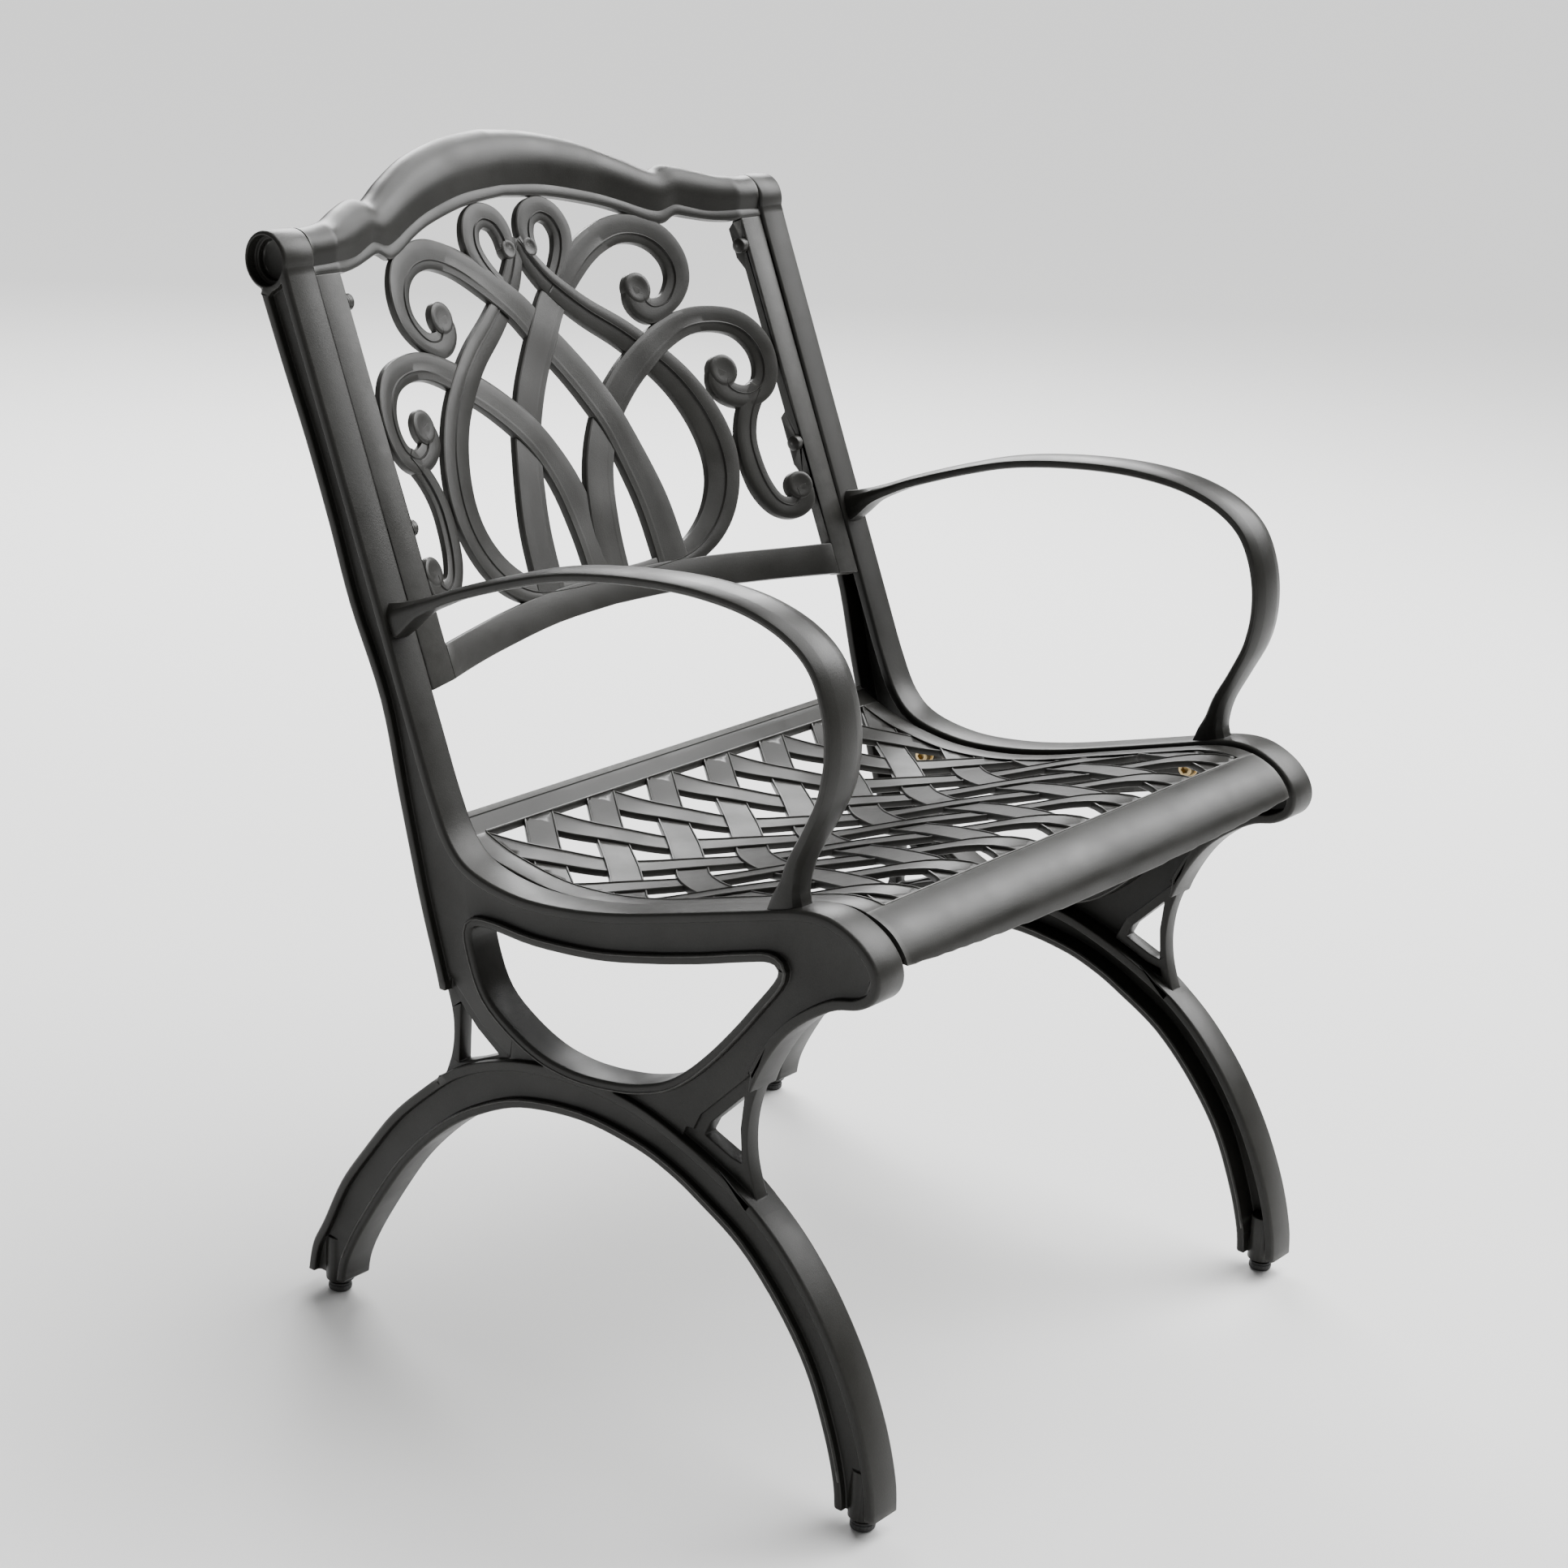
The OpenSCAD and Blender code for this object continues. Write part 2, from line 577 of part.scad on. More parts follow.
seat_head_r = 6.5;
seat_head_h = 8;
seat_washer_r = 8;
hex_key = 6;
flange_in = seat_out - flange_t;
module at_seat_screws() color(zinc_yellow) place() for (m = [-1, 1], p = seat_screw_at)
  side(m) translate([0, p[0], p[1]]) children();
module seat_screws() at_seat_screws() difference() {
  union() {
    along_x(0, screw_r, flange_in - washer_t, seat_out + tap_depth - 2);
    along_x(0, seat_head_r, flange_in - washer_t - seat_head_h, flange_in - washer_t);
  }
  translate([flange_in - washer_t - seat_head_h - 1, 0, 0]) rotate([0, 90, 0])
    cylinder(d = hex_key / cos(30), h = 5, $fn = 6);
}
module seat_screw_washers() at_seat_screws()
  along_x(plain_r, seat_washer_r, flange_in - washer_t, flange_in);

// ---- glides ----
pad_z = -datum_z;
pad_socket = 5;
module at_foot(s, y) place() side(s) translate([mid_x, y, pad_z]) children();
module foot_stud(s, y) color(zinc_yellow) at_foot(s, y)
  translate([0, 0, pad_h - pad_socket]) cylinder(r = screw_r, h = stud_l);
module foot_pad(s, y) color(nylon) at_foot(s, y) rotate_extrude() difference() {
  hull() {
    square([pad_r - 2, pad_h]);
    translate([0, 2]) square([pad_r, pad_h - 2.5]);
  }
  translate([-1, pad_h - pad_socket]) square([1 + screw_r + thread_clear, pad_socket + 1]);
}

side_frame(-1);  // side_frame_left
side_frame(1);  // side_frame_right
armrest(-1);  // armrest_left
armrest(1);  // armrest_right
back_stile(-1);  // back_stile_left
back_stile(1);  // back_stile_right
crest_rail();
lower_back_rail();
back_scrollwork();
back_screws();
back_screw_washers();
back_screw_caps();
seat_lattice();
seat_side_bar(-1);  // seat_side_bar_left
seat_side_bar(1);  // seat_side_bar_right
seat_rear_bar();
front_apron();
seat_screws();
seat_screw_washers();
foot_stud(-1, foot_y[0]);  // foot_stud_front_left
foot_stud(1, foot_y[0]);  // foot_stud_front_right
foot_stud(-1, foot_y[1]);  // foot_stud_rear_left
foot_stud(1, foot_y[1]);  // foot_stud_rear_right
foot_pad(-1, foot_y[0]);  // foot_pad_front_left
foot_pad(1, foot_y[0]);  // foot_pad_front_right
foot_pad(-1, foot_y[1]);  // foot_pad_rear_left
foot_pad(1, foot_y[1]);  // foot_pad_rear_right
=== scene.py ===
# %% [markdown]
# # A cast aluminium garden armchair
# The chair is a set of sand castings bolted together: two side frames, an armrest on each, two
# flat stiles, a rolled crest, a scrollwork back and a woven seat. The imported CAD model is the
# fixed frame of this lesson. Every finer piece is built around it, in metres, in the same place.

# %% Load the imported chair
import math

import bmesh
import bpy
import numpy as np
from mathutils import Matrix, Vector


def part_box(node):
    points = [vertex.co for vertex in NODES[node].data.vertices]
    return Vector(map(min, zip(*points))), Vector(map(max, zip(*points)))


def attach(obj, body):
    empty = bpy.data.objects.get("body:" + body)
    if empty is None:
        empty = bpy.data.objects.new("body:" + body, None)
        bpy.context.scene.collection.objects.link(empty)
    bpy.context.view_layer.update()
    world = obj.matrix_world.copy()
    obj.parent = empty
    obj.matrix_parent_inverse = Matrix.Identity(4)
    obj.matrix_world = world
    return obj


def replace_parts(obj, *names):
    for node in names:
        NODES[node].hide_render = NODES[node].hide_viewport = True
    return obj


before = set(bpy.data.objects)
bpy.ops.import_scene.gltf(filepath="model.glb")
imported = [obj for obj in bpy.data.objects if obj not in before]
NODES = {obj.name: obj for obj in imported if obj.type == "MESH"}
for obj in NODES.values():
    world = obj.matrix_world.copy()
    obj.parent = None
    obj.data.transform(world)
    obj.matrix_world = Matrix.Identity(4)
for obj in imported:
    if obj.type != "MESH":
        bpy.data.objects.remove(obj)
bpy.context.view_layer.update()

# %% [markdown]
# The castings are drawn in millimetres in a side view (y back, z up) and in a view square to the
# leaning back (x across, s up the lean, d behind its front). The drawings are placed by corners of
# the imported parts, so that they follow the CAD wherever it stands.

# %% Where the drawings lie
MM = 0.001
PAD_LOW, PAD_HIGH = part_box("foot_pad_front_right")
FRAME_LOW, FRAME_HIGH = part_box("side_frame_right")
FOOT_FRONT_Y = -534
BOSS_END_Z = 3
SHIFT_Y = (PAD_LOW.y + PAD_HIGH.y) / 2 / MM - FOOT_FRONT_Y
SHIFT_Z = FRAME_LOW.z / MM - BOSS_END_Z
HALF_W = FRAME_HIGH.x / MM
MID_X = (PAD_LOW.x + PAD_HIGH.x) / 2 / MM
INNER_X = 2 * MID_X - HALF_W
STILE_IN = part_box("back_stile_right")[0].x / MM
SEAT_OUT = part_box("seat_side_bar_right")[1].x / MM
LATTICE_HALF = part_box("seat_lattice")[1].x / MM
print("shift", round(SHIFT_Y, 2), round(SHIFT_Z, 2), "inner", INNER_X, "stile", round(STILE_IN, 2))

BACK_LOW = (-54.9, 547.4)
BACK_HIGH = (62.8, 812.6)
LEAN = math.atan2(BACK_HIGH[0] - BACK_LOW[0], BACK_HIGH[1] - BACK_LOW[1])
BOW = 40
SHELL_R = (STILE_IN ** 2 + BOW ** 2) / (2 * BOW)


def side_point(x, y, z):
    return (x * MM, (y + SHIFT_Y) * MM, (z + SHIFT_Z) * MM)


def bow_at(x):
    a = min(abs(x), STILE_IN)
    return BOW - SHELL_R + math.sqrt(SHELL_R ** 2 - a * a)


def back_point(x, s, d):
    y = BACK_LOW[0] + s * math.sin(LEAN) + d * math.cos(LEAN)
    z = BACK_LOW[1] + s * math.cos(LEAN) - d * math.sin(LEAN)
    return side_point(x, y, z)


# %% [markdown]
# A few helpers do what hands do in the viewport: select one object, enter edit mode, run the
# tools and leave. Curves through the drawn points are Catmull-Rom, the same as in the CAD.

# %% Helpers for selecting and editing
def only(piece):
    bpy.ops.object.select_all(action="DESELECT")
    piece.select_set(True)
    bpy.context.view_layer.objects.active = piece


def edit(piece, *tools):
    only(piece)
    bpy.ops.object.mode_set(mode="EDIT")
    for tool in tools:
        tool()
    bpy.ops.object.mode_set(mode="OBJECT")


def all_of_it():
    bpy.ops.mesh.select_all(action="SELECT")


def merge(distance=0.00001):
    return lambda: (all_of_it(), bpy.ops.mesh.remove_doubles(threshold=distance))


def close_ends():
    all_of_it()
    bpy.ops.mesh.fill_holes(sides=0)


def face_outwards():
    all_of_it()
    bpy.ops.mesh.normals_make_consistent(inside=False)


def smooth(piece, degrees=35):
    only(piece)
    bpy.ops.object.shade_smooth_by_angle(angle=math.radians(degrees))


def join(name, pieces):
    bpy.ops.object.select_all(action="DESELECT")
    for piece in pieces:
        piece.select_set(True)
    bpy.context.view_layer.objects.active = pieces[0]
    bpy.ops.object.join()
    pieces[0].name = name
    return pieces[0]


def curve_at(a, b, c, d, t):
    return [0.5 * (2 * q + (r - p) * t + (2 * p - 5 * q + 4 * r - s) * t * t
                   + (3 * q - p - 3 * r + s) * t ** 3) for p, q, r, s in zip(a, b, c, d)]


def curve(p, n):
    last = len(p) - 1
    line = [curve_at(p[max(i - 1, 0)], p[i], p[i + 1], p[min(i + 2, last)], k / n)
            for i in range(last) for k in range(n)]
    return line + [list(p[-1])]


def mirrored(p):
    return [[-q[0]] + list(q[1:]) for q in p]


# %% [markdown]
# Most castings here are a section carried along a line. A grid is added with one row for each
# section and one column for each point of it, its vertices go to their places, the seam is
# merged and the two ends are filled, which leaves one closed skin.

# %% Helper that lofts sections into a closed piece
def loft(name, sections, angle=35):
    rows, columns = len(sections), len(sections[0])
    bpy.ops.object.select_all(action="DESELECT")
    bpy.ops.mesh.primitive_grid_add(x_subdivisions=columns, y_subdivisions=rows - 1, size=1)
    piece = bpy.context.object
    piece.name = piece.data.name = name
    points = [point for section in sections for point in list(section) + [section[0]]]
    piece.data.vertices.foreach_set("co", np.array(points, float).ravel())
    edit(piece, merge(), close_ends, face_outwards)
    smooth(piece, angle)
    return piece


test = loft("grid_test", [[(0, 0, 0), (1, 0, 0), (1, 1, 0), (0, 1, 0)],
                          [(0, 0, 1), (1, 0, 1), (1, 1, 1), (0, 1, 1)]])
print("loft makes", len(test.data.vertices), "corners of a box")
bpy.data.objects.remove(test)

# %% [markdown]
# ## The powder coat
# Sand-cast aluminium keeps the grain of the mould, and a satin charcoal powder coat softens it.
# Three effects make it: a fine grain with a slower waviness, a slight change of shade from place
# to place, and a lighter and glossier coat on sharp edges, which is partly edge wear and partly a
# painted highlight standing in for light caught by the edges. They are groups, so
# that each material can use them at its own scale.

# %% Node groups
def new_group(name, inputs, outputs):
    group = bpy.data.node_groups.new(name, "ShaderNodeTree")
    for label, kind, value in inputs:
        socket = group.interface.new_socket(label, in_out="INPUT", socket_type=kind)
        if value is not None:
            socket.default_value = value
    for label, kind in outputs:
        group.interface.new_socket(label, in_out="OUTPUT", socket_type=kind)
    nodes = group.nodes
    return group, nodes.new("NodeGroupInput"), nodes.new("NodeGroupOutput")


def noise(tree, vector, scale, detail=3.0, rough=0.55):
    node = tree.nodes.new("ShaderNodeTexNoise")
    node.inputs["Scale"].default_value = scale
    node.inputs["Detail"].default_value = detail
    node.inputs["Roughness"].default_value = rough
    tree.links.new(vector, node.inputs["Vector"])
    return node.outputs["Fac"]


def math_node(tree, operation, a, b):
    node = tree.nodes.new("ShaderNodeMath")
    node.operation = operation
    for socket, value in zip(node.inputs, (a, b)):
        if isinstance(value, (int, float)):
            socket.default_value = value
        else:
            tree.links.new(value, socket)
    return node.outputs[0]


def ramp(tree, value, low, high, to_low=0.0, to_high=1.0):
    node = tree.nodes.new("ShaderNodeMapRange")
    tree.links.new(value, node.inputs["Value"])
    node.inputs["From Min"].default_value = low
    node.inputs["From Max"].default_value = high
    node.inputs["To Min"].default_value = to_low
    node.inputs["To Max"].default_value = to_high
    return node.outputs["Result"]


def make_cast_grain():
    group, inlet, outlet = new_group(
        "cast_grain",
        [("Grain Scale", "NodeSocketFloat", 900.0), ("Wave Scale", "NodeSocketFloat", 60.0),
         ("Grain Share", "NodeSocketFloat", 0.6)],
        [("Height", "NodeSocketFloat")])
    place = group.nodes.new("ShaderNodeTexCoord").outputs["Object"]
    fine = noise(group, place, 900.0, 4.0, 0.6)
    group.links.new(inlet.outputs["Grain Scale"], fine.node.inputs["Scale"])
    slow = noise(group, place, 60.0, 2.0)
    group.links.new(inlet.outputs["Wave Scale"], slow.node.inputs["Scale"])
    mix = group.nodes.new("ShaderNodeMix")
    group.links.new(inlet.outputs["Grain Share"], mix.inputs[0])
    group.links.new(slow, mix.inputs[2])
    group.links.new(fine, mix.inputs[3])
    group.links.new(mix.outputs[0], outlet.inputs["Height"])
    return group


# Pointiness mask for sharp edges and bead lines: partly edge wear, partly a painted highlight
def make_edge_rub_and_highlight():
    group, inlet, outlet = new_group(
        "edge_rub_and_highlight",
        [("Amount", "NodeSocketFloat", 0.6)], [("Mask", "NodeSocketFloat")])
    place = group.nodes.new("ShaderNodeTexCoord").outputs["Object"]
    point = group.nodes.new("ShaderNodeNewGeometry").outputs["Pointiness"]
    edge = ramp(group, point, 0.53, 0.60)
    patchy = ramp(group, noise(group, place, 90.0, 5.0, 0.7), 0.35, 0.65, 0.45, 1.0)
    mask = math_node(group, "MULTIPLY", edge, patchy)
    mask = math_node(group, "MULTIPLY", mask, inlet.outputs["Amount"])
    group.links.new(mask, outlet.inputs["Mask"])
    return group


def make_coat_shade():
    group, inlet, outlet = new_group(
        "coat_shade",
        [("Dark", "NodeSocketColor", None), ("Light", "NodeSocketColor", None),
         ("Rub", "NodeSocketColor", None), ("Mask", "NodeSocketFloat", 0.0)],
        [("Color", "NodeSocketColor")])
    place = group.nodes.new("ShaderNodeTexCoord").outputs["Object"]
    cloud = ramp(group, noise(group, place, 9.0, 3.0), 0.35, 0.65)
    speck = ramp(group, noise(group, place, 700.0, 2.0), 0.3, 0.75, 0.0, 0.35)
    level = math_node(group, "ADD", math_node(group, "MULTIPLY", cloud, 0.65), speck)
    shade = group.nodes.new("ShaderNodeMix")
    shade.data_type = "RGBA"
    group.links.new(level, shade.inputs[0])
    group.links.new(inlet.outputs["Dark"], shade.inputs[6])
    group.links.new(inlet.outputs["Light"], shade.inputs[7])
    # The light edge colour goes on the edge mask: partly edge wear, partly a painted highlight
    rubbed_and_highlit = group.nodes.new("ShaderNodeMix")
    rubbed_and_highlit.data_type = "RGBA"
    group.links.new(inlet.outputs["Mask"], rubbed_and_highlit.inputs[0])
    group.links.new(shade.outputs[2], rubbed_and_highlit.inputs[6])
    group.links.new(inlet.outputs["Rub"], rubbed_and_highlit.inputs[7])
    group.links.new(rubbed_and_highlit.outputs[2], outlet.inputs["Color"])
    return group


CAST_GRAIN, EDGE_RUB_AND_HIGHLIGHT, COAT_SHADE = make_cast_grain(), make_edge_rub_and_highlight(), make_coat_shade()
print("groups", [g.name for g in (CAST_GRAIN, EDGE_RUB_AND_HIGHLIGHT, COAT_SHADE)])


# %% Materials from the groups
def use_group(tree, group, **values):
    node = tree.nodes.new("ShaderNodeGroup")
    node.node_tree = group
    for label, value in values.items():
        socket = node.inputs[label.replace("_", " ")]
        if hasattr(value, "is_output"):
            tree.links.new(value, socket)
        else:
            socket.default_value = value
    return node


def finish(name, dark, light, rub_and_highlight, rough, grain=900.0, wave=60.0, share=0.6, bump=0.25,
           depth=0.0004, edge=0.6, metallic=0.0, coat=0.0, specular=0.5):
    material = bpy.data.materials.new(name)
    material.use_nodes = True
    tree = material.node_tree
    shader = tree.nodes["Principled BSDF"]
    mask = use_group(tree, EDGE_RUB_AND_HIGHLIGHT, Amount=edge).outputs["Mask"]
    colour = use_group(tree, COAT_SHADE, Dark=(*dark, 1), Light=(*light, 1), Rub=(*rub_and_highlight, 1), Mask=mask)
    tree.links.new(colour.outputs["Color"], shader.inputs["Base Color"])
    place = tree.nodes.new("ShaderNodeTexCoord").outputs["Object"]
    patch = ramp(tree, noise(tree, place, 25.0, 3.0), 0.3, 0.7, rough - 0.05, rough + 0.07)
    rubbed_and_highlit = math_node(tree, "SUBTRACT", patch, math_node(tree, "MULTIPLY", mask, 0.12))
    tree.links.new(rubbed_and_highlit, shader.inputs["Roughness"])
    height = use_group(tree, CAST_GRAIN, Grain_Scale=grain, Wave_Scale=wave, Grain_Share=share)
    bumps = tree.nodes.new("ShaderNodeBump")
    bumps.inputs["Strength"].default_value = bump
    bumps.inputs["Distance"].default_value = depth
    tree.links.new(height.outputs["Height"], bumps.inputs["Height"])
    tree.links.new(bumps.outputs["Normal"], shader.inputs["Normal"])
    shader.inputs["Metallic"].default_value = metallic
    shader.inputs["Specular IOR Level"].default_value = specular
    shader.inputs["Coat Weight"].default_value = coat
    shader.inputs["Coat Roughness"].default_value = 0.3
    return material


# The third colour of each finish is the light edge colour: partly edge wear, partly a painted highlight
CHARCOAL = finish("charcoal_coat", (0.0105, 0.0102, 0.0088), (0.018, 0.0175, 0.0155),
                  (0.15, 0.149, 0.142), 0.37, edge=0.7, bump=0.4, specular=0.24)
ZINC = finish("yellow_zinc", (0.42, 0.29, 0.11), (0.62, 0.47, 0.24), (0.75, 0.66, 0.5), 0.33,
              grain=1500.0, wave=200.0, bump=0.1, depth=0.0002, edge=0.4, metallic=1.0)
NYLON = finish("black_nylon", (0.016, 0.016, 0.016), (0.026, 0.026, 0.025), (0.08, 0.08, 0.08),
               0.55, grain=2200.0, wave=120.0, bump=0.2, depth=0.0002, edge=0.3)
print("materials", CHARCOAL.name, ZINC.name, NYLON.name)


def coat(piece, material, slot, body="frame"):
    piece.data.materials.clear()
    piece.data.materials.append(material)
    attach(piece, body)
    return piece


def cast(piece, *stands_for):
    coat(piece, CHARCOAL, "charcoal_coat")
    if stands_for:
        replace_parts(piece, *stands_for)
    print(piece.name, len(piece.data.polygons), "faces")
    return piece


# %% [markdown]
# ## Side frames, stiles and rails
# These are flat plates with raised rims. A real casting has no sharp edge: the pattern is rounded
# so that it leaves the sand. A copy of each CAD node is merged into whole faces, its edges get a
# weight, large on the outside and small in the recesses, and the bevel tool rounds them all.

# %% Round the edges of a copied casting
def rounded_copy(node, name, wide, narrow, thickness, segments=3):
    piece = NODES[node].copy()
    piece.data = NODES[node].data.copy()
    piece.name = piece.data.name = name
    piece.parent = None
    for key in list(piece.keys()):
        del piece[key]
    bpy.context.scene.collection.objects.link(piece)
    edit(piece, merge(0.00004), all_of_it,
         lambda: bpy.ops.mesh.dissolve_limited(angle_limit=math.radians(0.6)),
         lambda: bpy.ops.mesh.quads_convert_to_tris(ngon_method="BEAUTY"))
    only(piece)
    bpy.ops.mesh.customdata_custom_splitnormals_clear()
    weights = edge_weights(piece, narrow / wide, thickness)
    layer = piece.data.attributes.new("bevel_weight_edge", "FLOAT", "EDGE")
    layer.data.foreach_set("value", weights)
    bevel = piece.modifiers.new("round", "BEVEL")
    bevel.limit_method = "WEIGHT"
    bevel.width = wide * MM
    bevel.segments = segments
    bevel.use_clamp_overlap = False
    bevel.miter_outer = "MITER_ARC"
    bpy.ops.object.modifier_apply(modifier="round")
    keep_inside(piece, *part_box(node))
    smooth(piece, 40)
    return piece


def keep_inside(piece, low, high):
    # A sharp mitre can throw a corner outwards; nothing may leave the casting's own box
    count = len(piece.data.vertices)
    places = np.empty(count * 3)
    piece.data.vertices.foreach_get("co", places)
    held = np.clip(places.reshape(-1, 3), np.array(low), np.array(high))
    piece.data.vertices.foreach_set("co", held.ravel())
    piece.data.update()


def edge_weights(piece, share, thickness):
    shape = bmesh.new()
    shape.from_mesh(piece.data)
    weights = []
    for edge in shape.edges:
        weight = 0.0
        if len(edge.link_faces) == 2 and edge.calc_face_angle(0) > math.radians(32):
            spans = [max(v.co.x for v in f.verts) - min(v.co.x for v in f.verts)
                     for f in edge.link_faces]
            weight = 1.0 if max(spans) > 0.94 * thickness * MM else share
        weights.append(weight)
    shape.free()
    return weights


for side in ("left", "right"):
    cast(rounded_copy("side_frame_" + side, "frame_casting_" + side, 2.8, 1.1, HALF_W - INNER_X),
         "side_frame_" + side)
    cast(rounded_copy("back_stile_" + side, "stile_casting_" + side, 1.1, 1.1, 1000),
         "back_stile_" + side)
    cast(rounded_copy("seat_side_bar_" + side, "seat_edge_" + side, 0.9, 0.9, 1000),
         "seat_side_bar_" + side)
cast(rounded_copy("lower_back_rail", "lower_rail_casting", 1.1, 1.1, 1000), "lower_back_rail")
cast(rounded_copy("seat_rear_bar", "seat_rear_casting", 1.1, 1.1, 1000), "seat_rear_bar")

# %% [markdown]
# The pattern also carries a fine raised line round the curved opening and along the legs, which
# catches the light. It is a thin round section swept along the outline, sunk halfway into the rim.

# %% Fine raised lines on the side frames
def swept(name, path, radius, closed=False, sides=8):
    sections = []
    count = len(path)
    for i in range(count):
        before = path[(i - 1) % count] if closed else path[max(i - 1, 0)]
        after = path[(i + 1) % count] if closed else path[min(i + 1, count - 1)]
        ahead = (Vector(after) - Vector(before)).normalized()
        up = Vector((1, 0, 0)) if abs(ahead.x) < 0.9 else Vector((0, 0, 1))
        out = ahead.cross(up).normalized()
        up = out.cross(ahead)
        sections.append([
            Vector(path[i]) + radius * MM * (out * math.cos(w) + up * math.sin(w))
            for w in (2 * math.pi * k / sides for k in range(sides))])
    return loft(name, sections + sections[:1] if closed else sections, 60)


def loop_curve(p, n):
    count = len(p)
    return [curve_at(p[i - 1], p[i], p[(i + 1) % count], p[(i + 2) % count], k / n)
            for i in range(count) for k in range(n)]


def moved(line, away, closed=False):
    count = len(line)
    found = []
    for i, (y, z) in enumerate(line):
        a = line[(i - 1) % count] if closed else line[max(i - 1, 0)]
        b = line[(i + 1) % count] if closed else line[min(i + 1, count - 1)]
        length = math.hypot(b[0] - a[0], b[1] - a[1])
        found.append((y - (b[1] - a[1]) / length * away, z + (b[0] - a[0]) / length * away))
    return found


SEAT_HOLE = [
    (-138, 362), (-158, 367), (-202, 366), (-262, 372), (-312, 383), (-362, 397), (-402, 410),
    (-428, 417), (-435, 409), (-415, 380), (-397, 356), (-376, 331), (-355, 310), (-334, 295),
    (-308, 285), (-285, 280), (-260, 277), (-238, 277), (-213, 281), (-184, 293), (-157, 312),
    (-142, 340)]
LEG_INSIDE = [
    (-9, 30), (-24, 62), (-54, 112), (-79, 147), (-114, 183), (-149, 208), (-195, 229),
    (-256, 238), (-310, 233), (-345, 223), (-375, 209), (-415, 186), (-452, 151), (-482, 111),
    (-503, 65), (-514, 30)]
LINE_R, LINE_IN = 0.8, 6.6
lines = []
for side in (-1, 1):
    for face in (HALF_W, INNER_X):
        hole = moved(loop_curve(SEAT_HOLE, 4), -LINE_IN, True)
        lines.append(swept("line", [side_point(side * face, y, z) for y, z in hole], LINE_R, True))
        leg = moved(curve(LEG_INSIDE, 4), -LINE_IN)
        lines.append(swept("line", [side_point(side * face, y, z) for y, z in leg], LINE_R))
cast(join("frame_raised_lines", lines))

# %% [markdown]
# ## Armrests
# Each armrest is one bar that leaves the post in a flare, runs forward in a low arch and curls
# down into the seat rail. Its top is crowned in three facets. A section with those facets is
# carried along the line, and its thickness follows the flares at both ends.

# %% Armrests
ARM_LINE = [
    (-30, 583, 34), (-44, 590, 26), (-62, 601, 15), (-84, 612, 11), (-110, 624, 10),
    (-160, 643, 10), (-210, 659, 10), (-260, 669, 10), (-312, 675, 10), (-354, 676, 10),
    (-394, 672, 10), (-428, 661, 10), (-452, 643, 10), (-466, 615, 10), (-471, 583, 10),
    (-467, 552, 10), (-454, 522, 10), (-442, 497, 12), (-437, 478, 16), (-435, 466, 25),
    (-435, 456, 34)]
ARM_LOW, ARM_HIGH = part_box("armrest_right")
ARM_HALF = (ARM_HIGH.x - ARM_LOW.x) / 2 / MM
ARM_PLAN = [
    (-490, 1.0), (-420, 1.0), (-350, 0.98), (-280, 0.93), (-200, 0.84), (-130, 0.72),
    (-70, 0.6), (-20, 0.55)]
ARM_ROOT_HALF = 13.5
ARM_SECTION = [
    (-0.99, 0.12), (-0.93, 0.42), (-0.84, 0.60), (-0.50, 0.90), (-0.42, 0.96), (0.0, 1.0),
    (0.42, 0.96), (0.50, 0.90), (0.84, 0.60), (0.93, 0.42), (0.99, 0.12), (1.0, -0.2),
    (0.97, -0.62), (0.88, -0.86), (0.55, -0.95), (0.0, -1.0), (-0.55, -0.95), (-0.88, -0.86),
    (-0.97, -0.62), (-1.0, -0.2)]


def normals_of(line):
    found = []
    for i in range(len(line)):
        a, b = line[max(i - 1, 0)], line[min(i + 1, len(line) - 1)]
        length = math.hypot(b[0] - a[0], b[1] - a[1])
        found.append((-(b[1] - a[1]) / length, (b[0] - a[0]) / length))
    return found


def armrest(side):
    line = curve(ARM_LINE, 8)
    sections = []
    for (y, z, thick), (ny, nz) in zip(line, normals_of(line)):
        half = ARM_HALF * float(np.interp(y, *zip(*ARM_PLAN)))
        half = min(half, float(np.interp(z, (480, 560), (ARM_ROOT_HALF, ARM_HALF))))
        sections.append([
            side_point(side * (MID_X + across * half), y - up * ny * thick / 2, z - up * nz * thick / 2)
            for across, up in ARM_SECTION])
    return sections


for name, side in (("left", -1), ("right", 1)):
    cast(loft("arm_casting_" + name, armrest(side), 22), "armrest_" + name)

# %% [markdown]
# ## Crest
# The top rail is a sheet rolled backwards over a flat lip. Its section is drawn afresh at each
# place across the chair: the arch in the middle, the notch and the shoulder beside it.

# %% Crest
LIP_LOW = [
    (0, 369), (50, 364), (100, 352), (130, 341), (150, 331), (163, 326), (172, 325),
    (185, 330), (200, 326), (220, 320), (240, 316), (249.9, 316), (278, 316)]
LIP_TOP = [
    (0, 379), (50, 375), (100, 363), (130, 352), (150, 343), (163, 338), (172, 337),
    (187, 340), (200, 336), (220, 329), (250, 325), (278, 324)]
CREST_TOP = [
    (0, 430), (50, 425), (100, 412), (140, 394), (165, 380), (178, 375), (192, 378),
    (215, 371), (240, 361), (262, 357), (278, 357)]
LIPS = [np.array(curve(p, 8)) for p in (LIP_LOW, LIP_TOP, CREST_TOP)]
CREST_DEEP, CREST_PROUD, CREST_WALL, BACK_THICK = 38, 5, 5, 8
ROLL_STEPS, ROLL_FROM, ROLL_TO = 28, 207, -60


def roll(x, middle, centre, deep, high):
    turns = [math.radians(ROLL_FROM + k * (ROLL_TO - ROLL_FROM) / ROLL_STEPS)
             for k in range(ROLL_STEPS + 1)]
    return [(x, centre + high * math.sin(w), middle + deep * math.cos(w)) for w in turns]


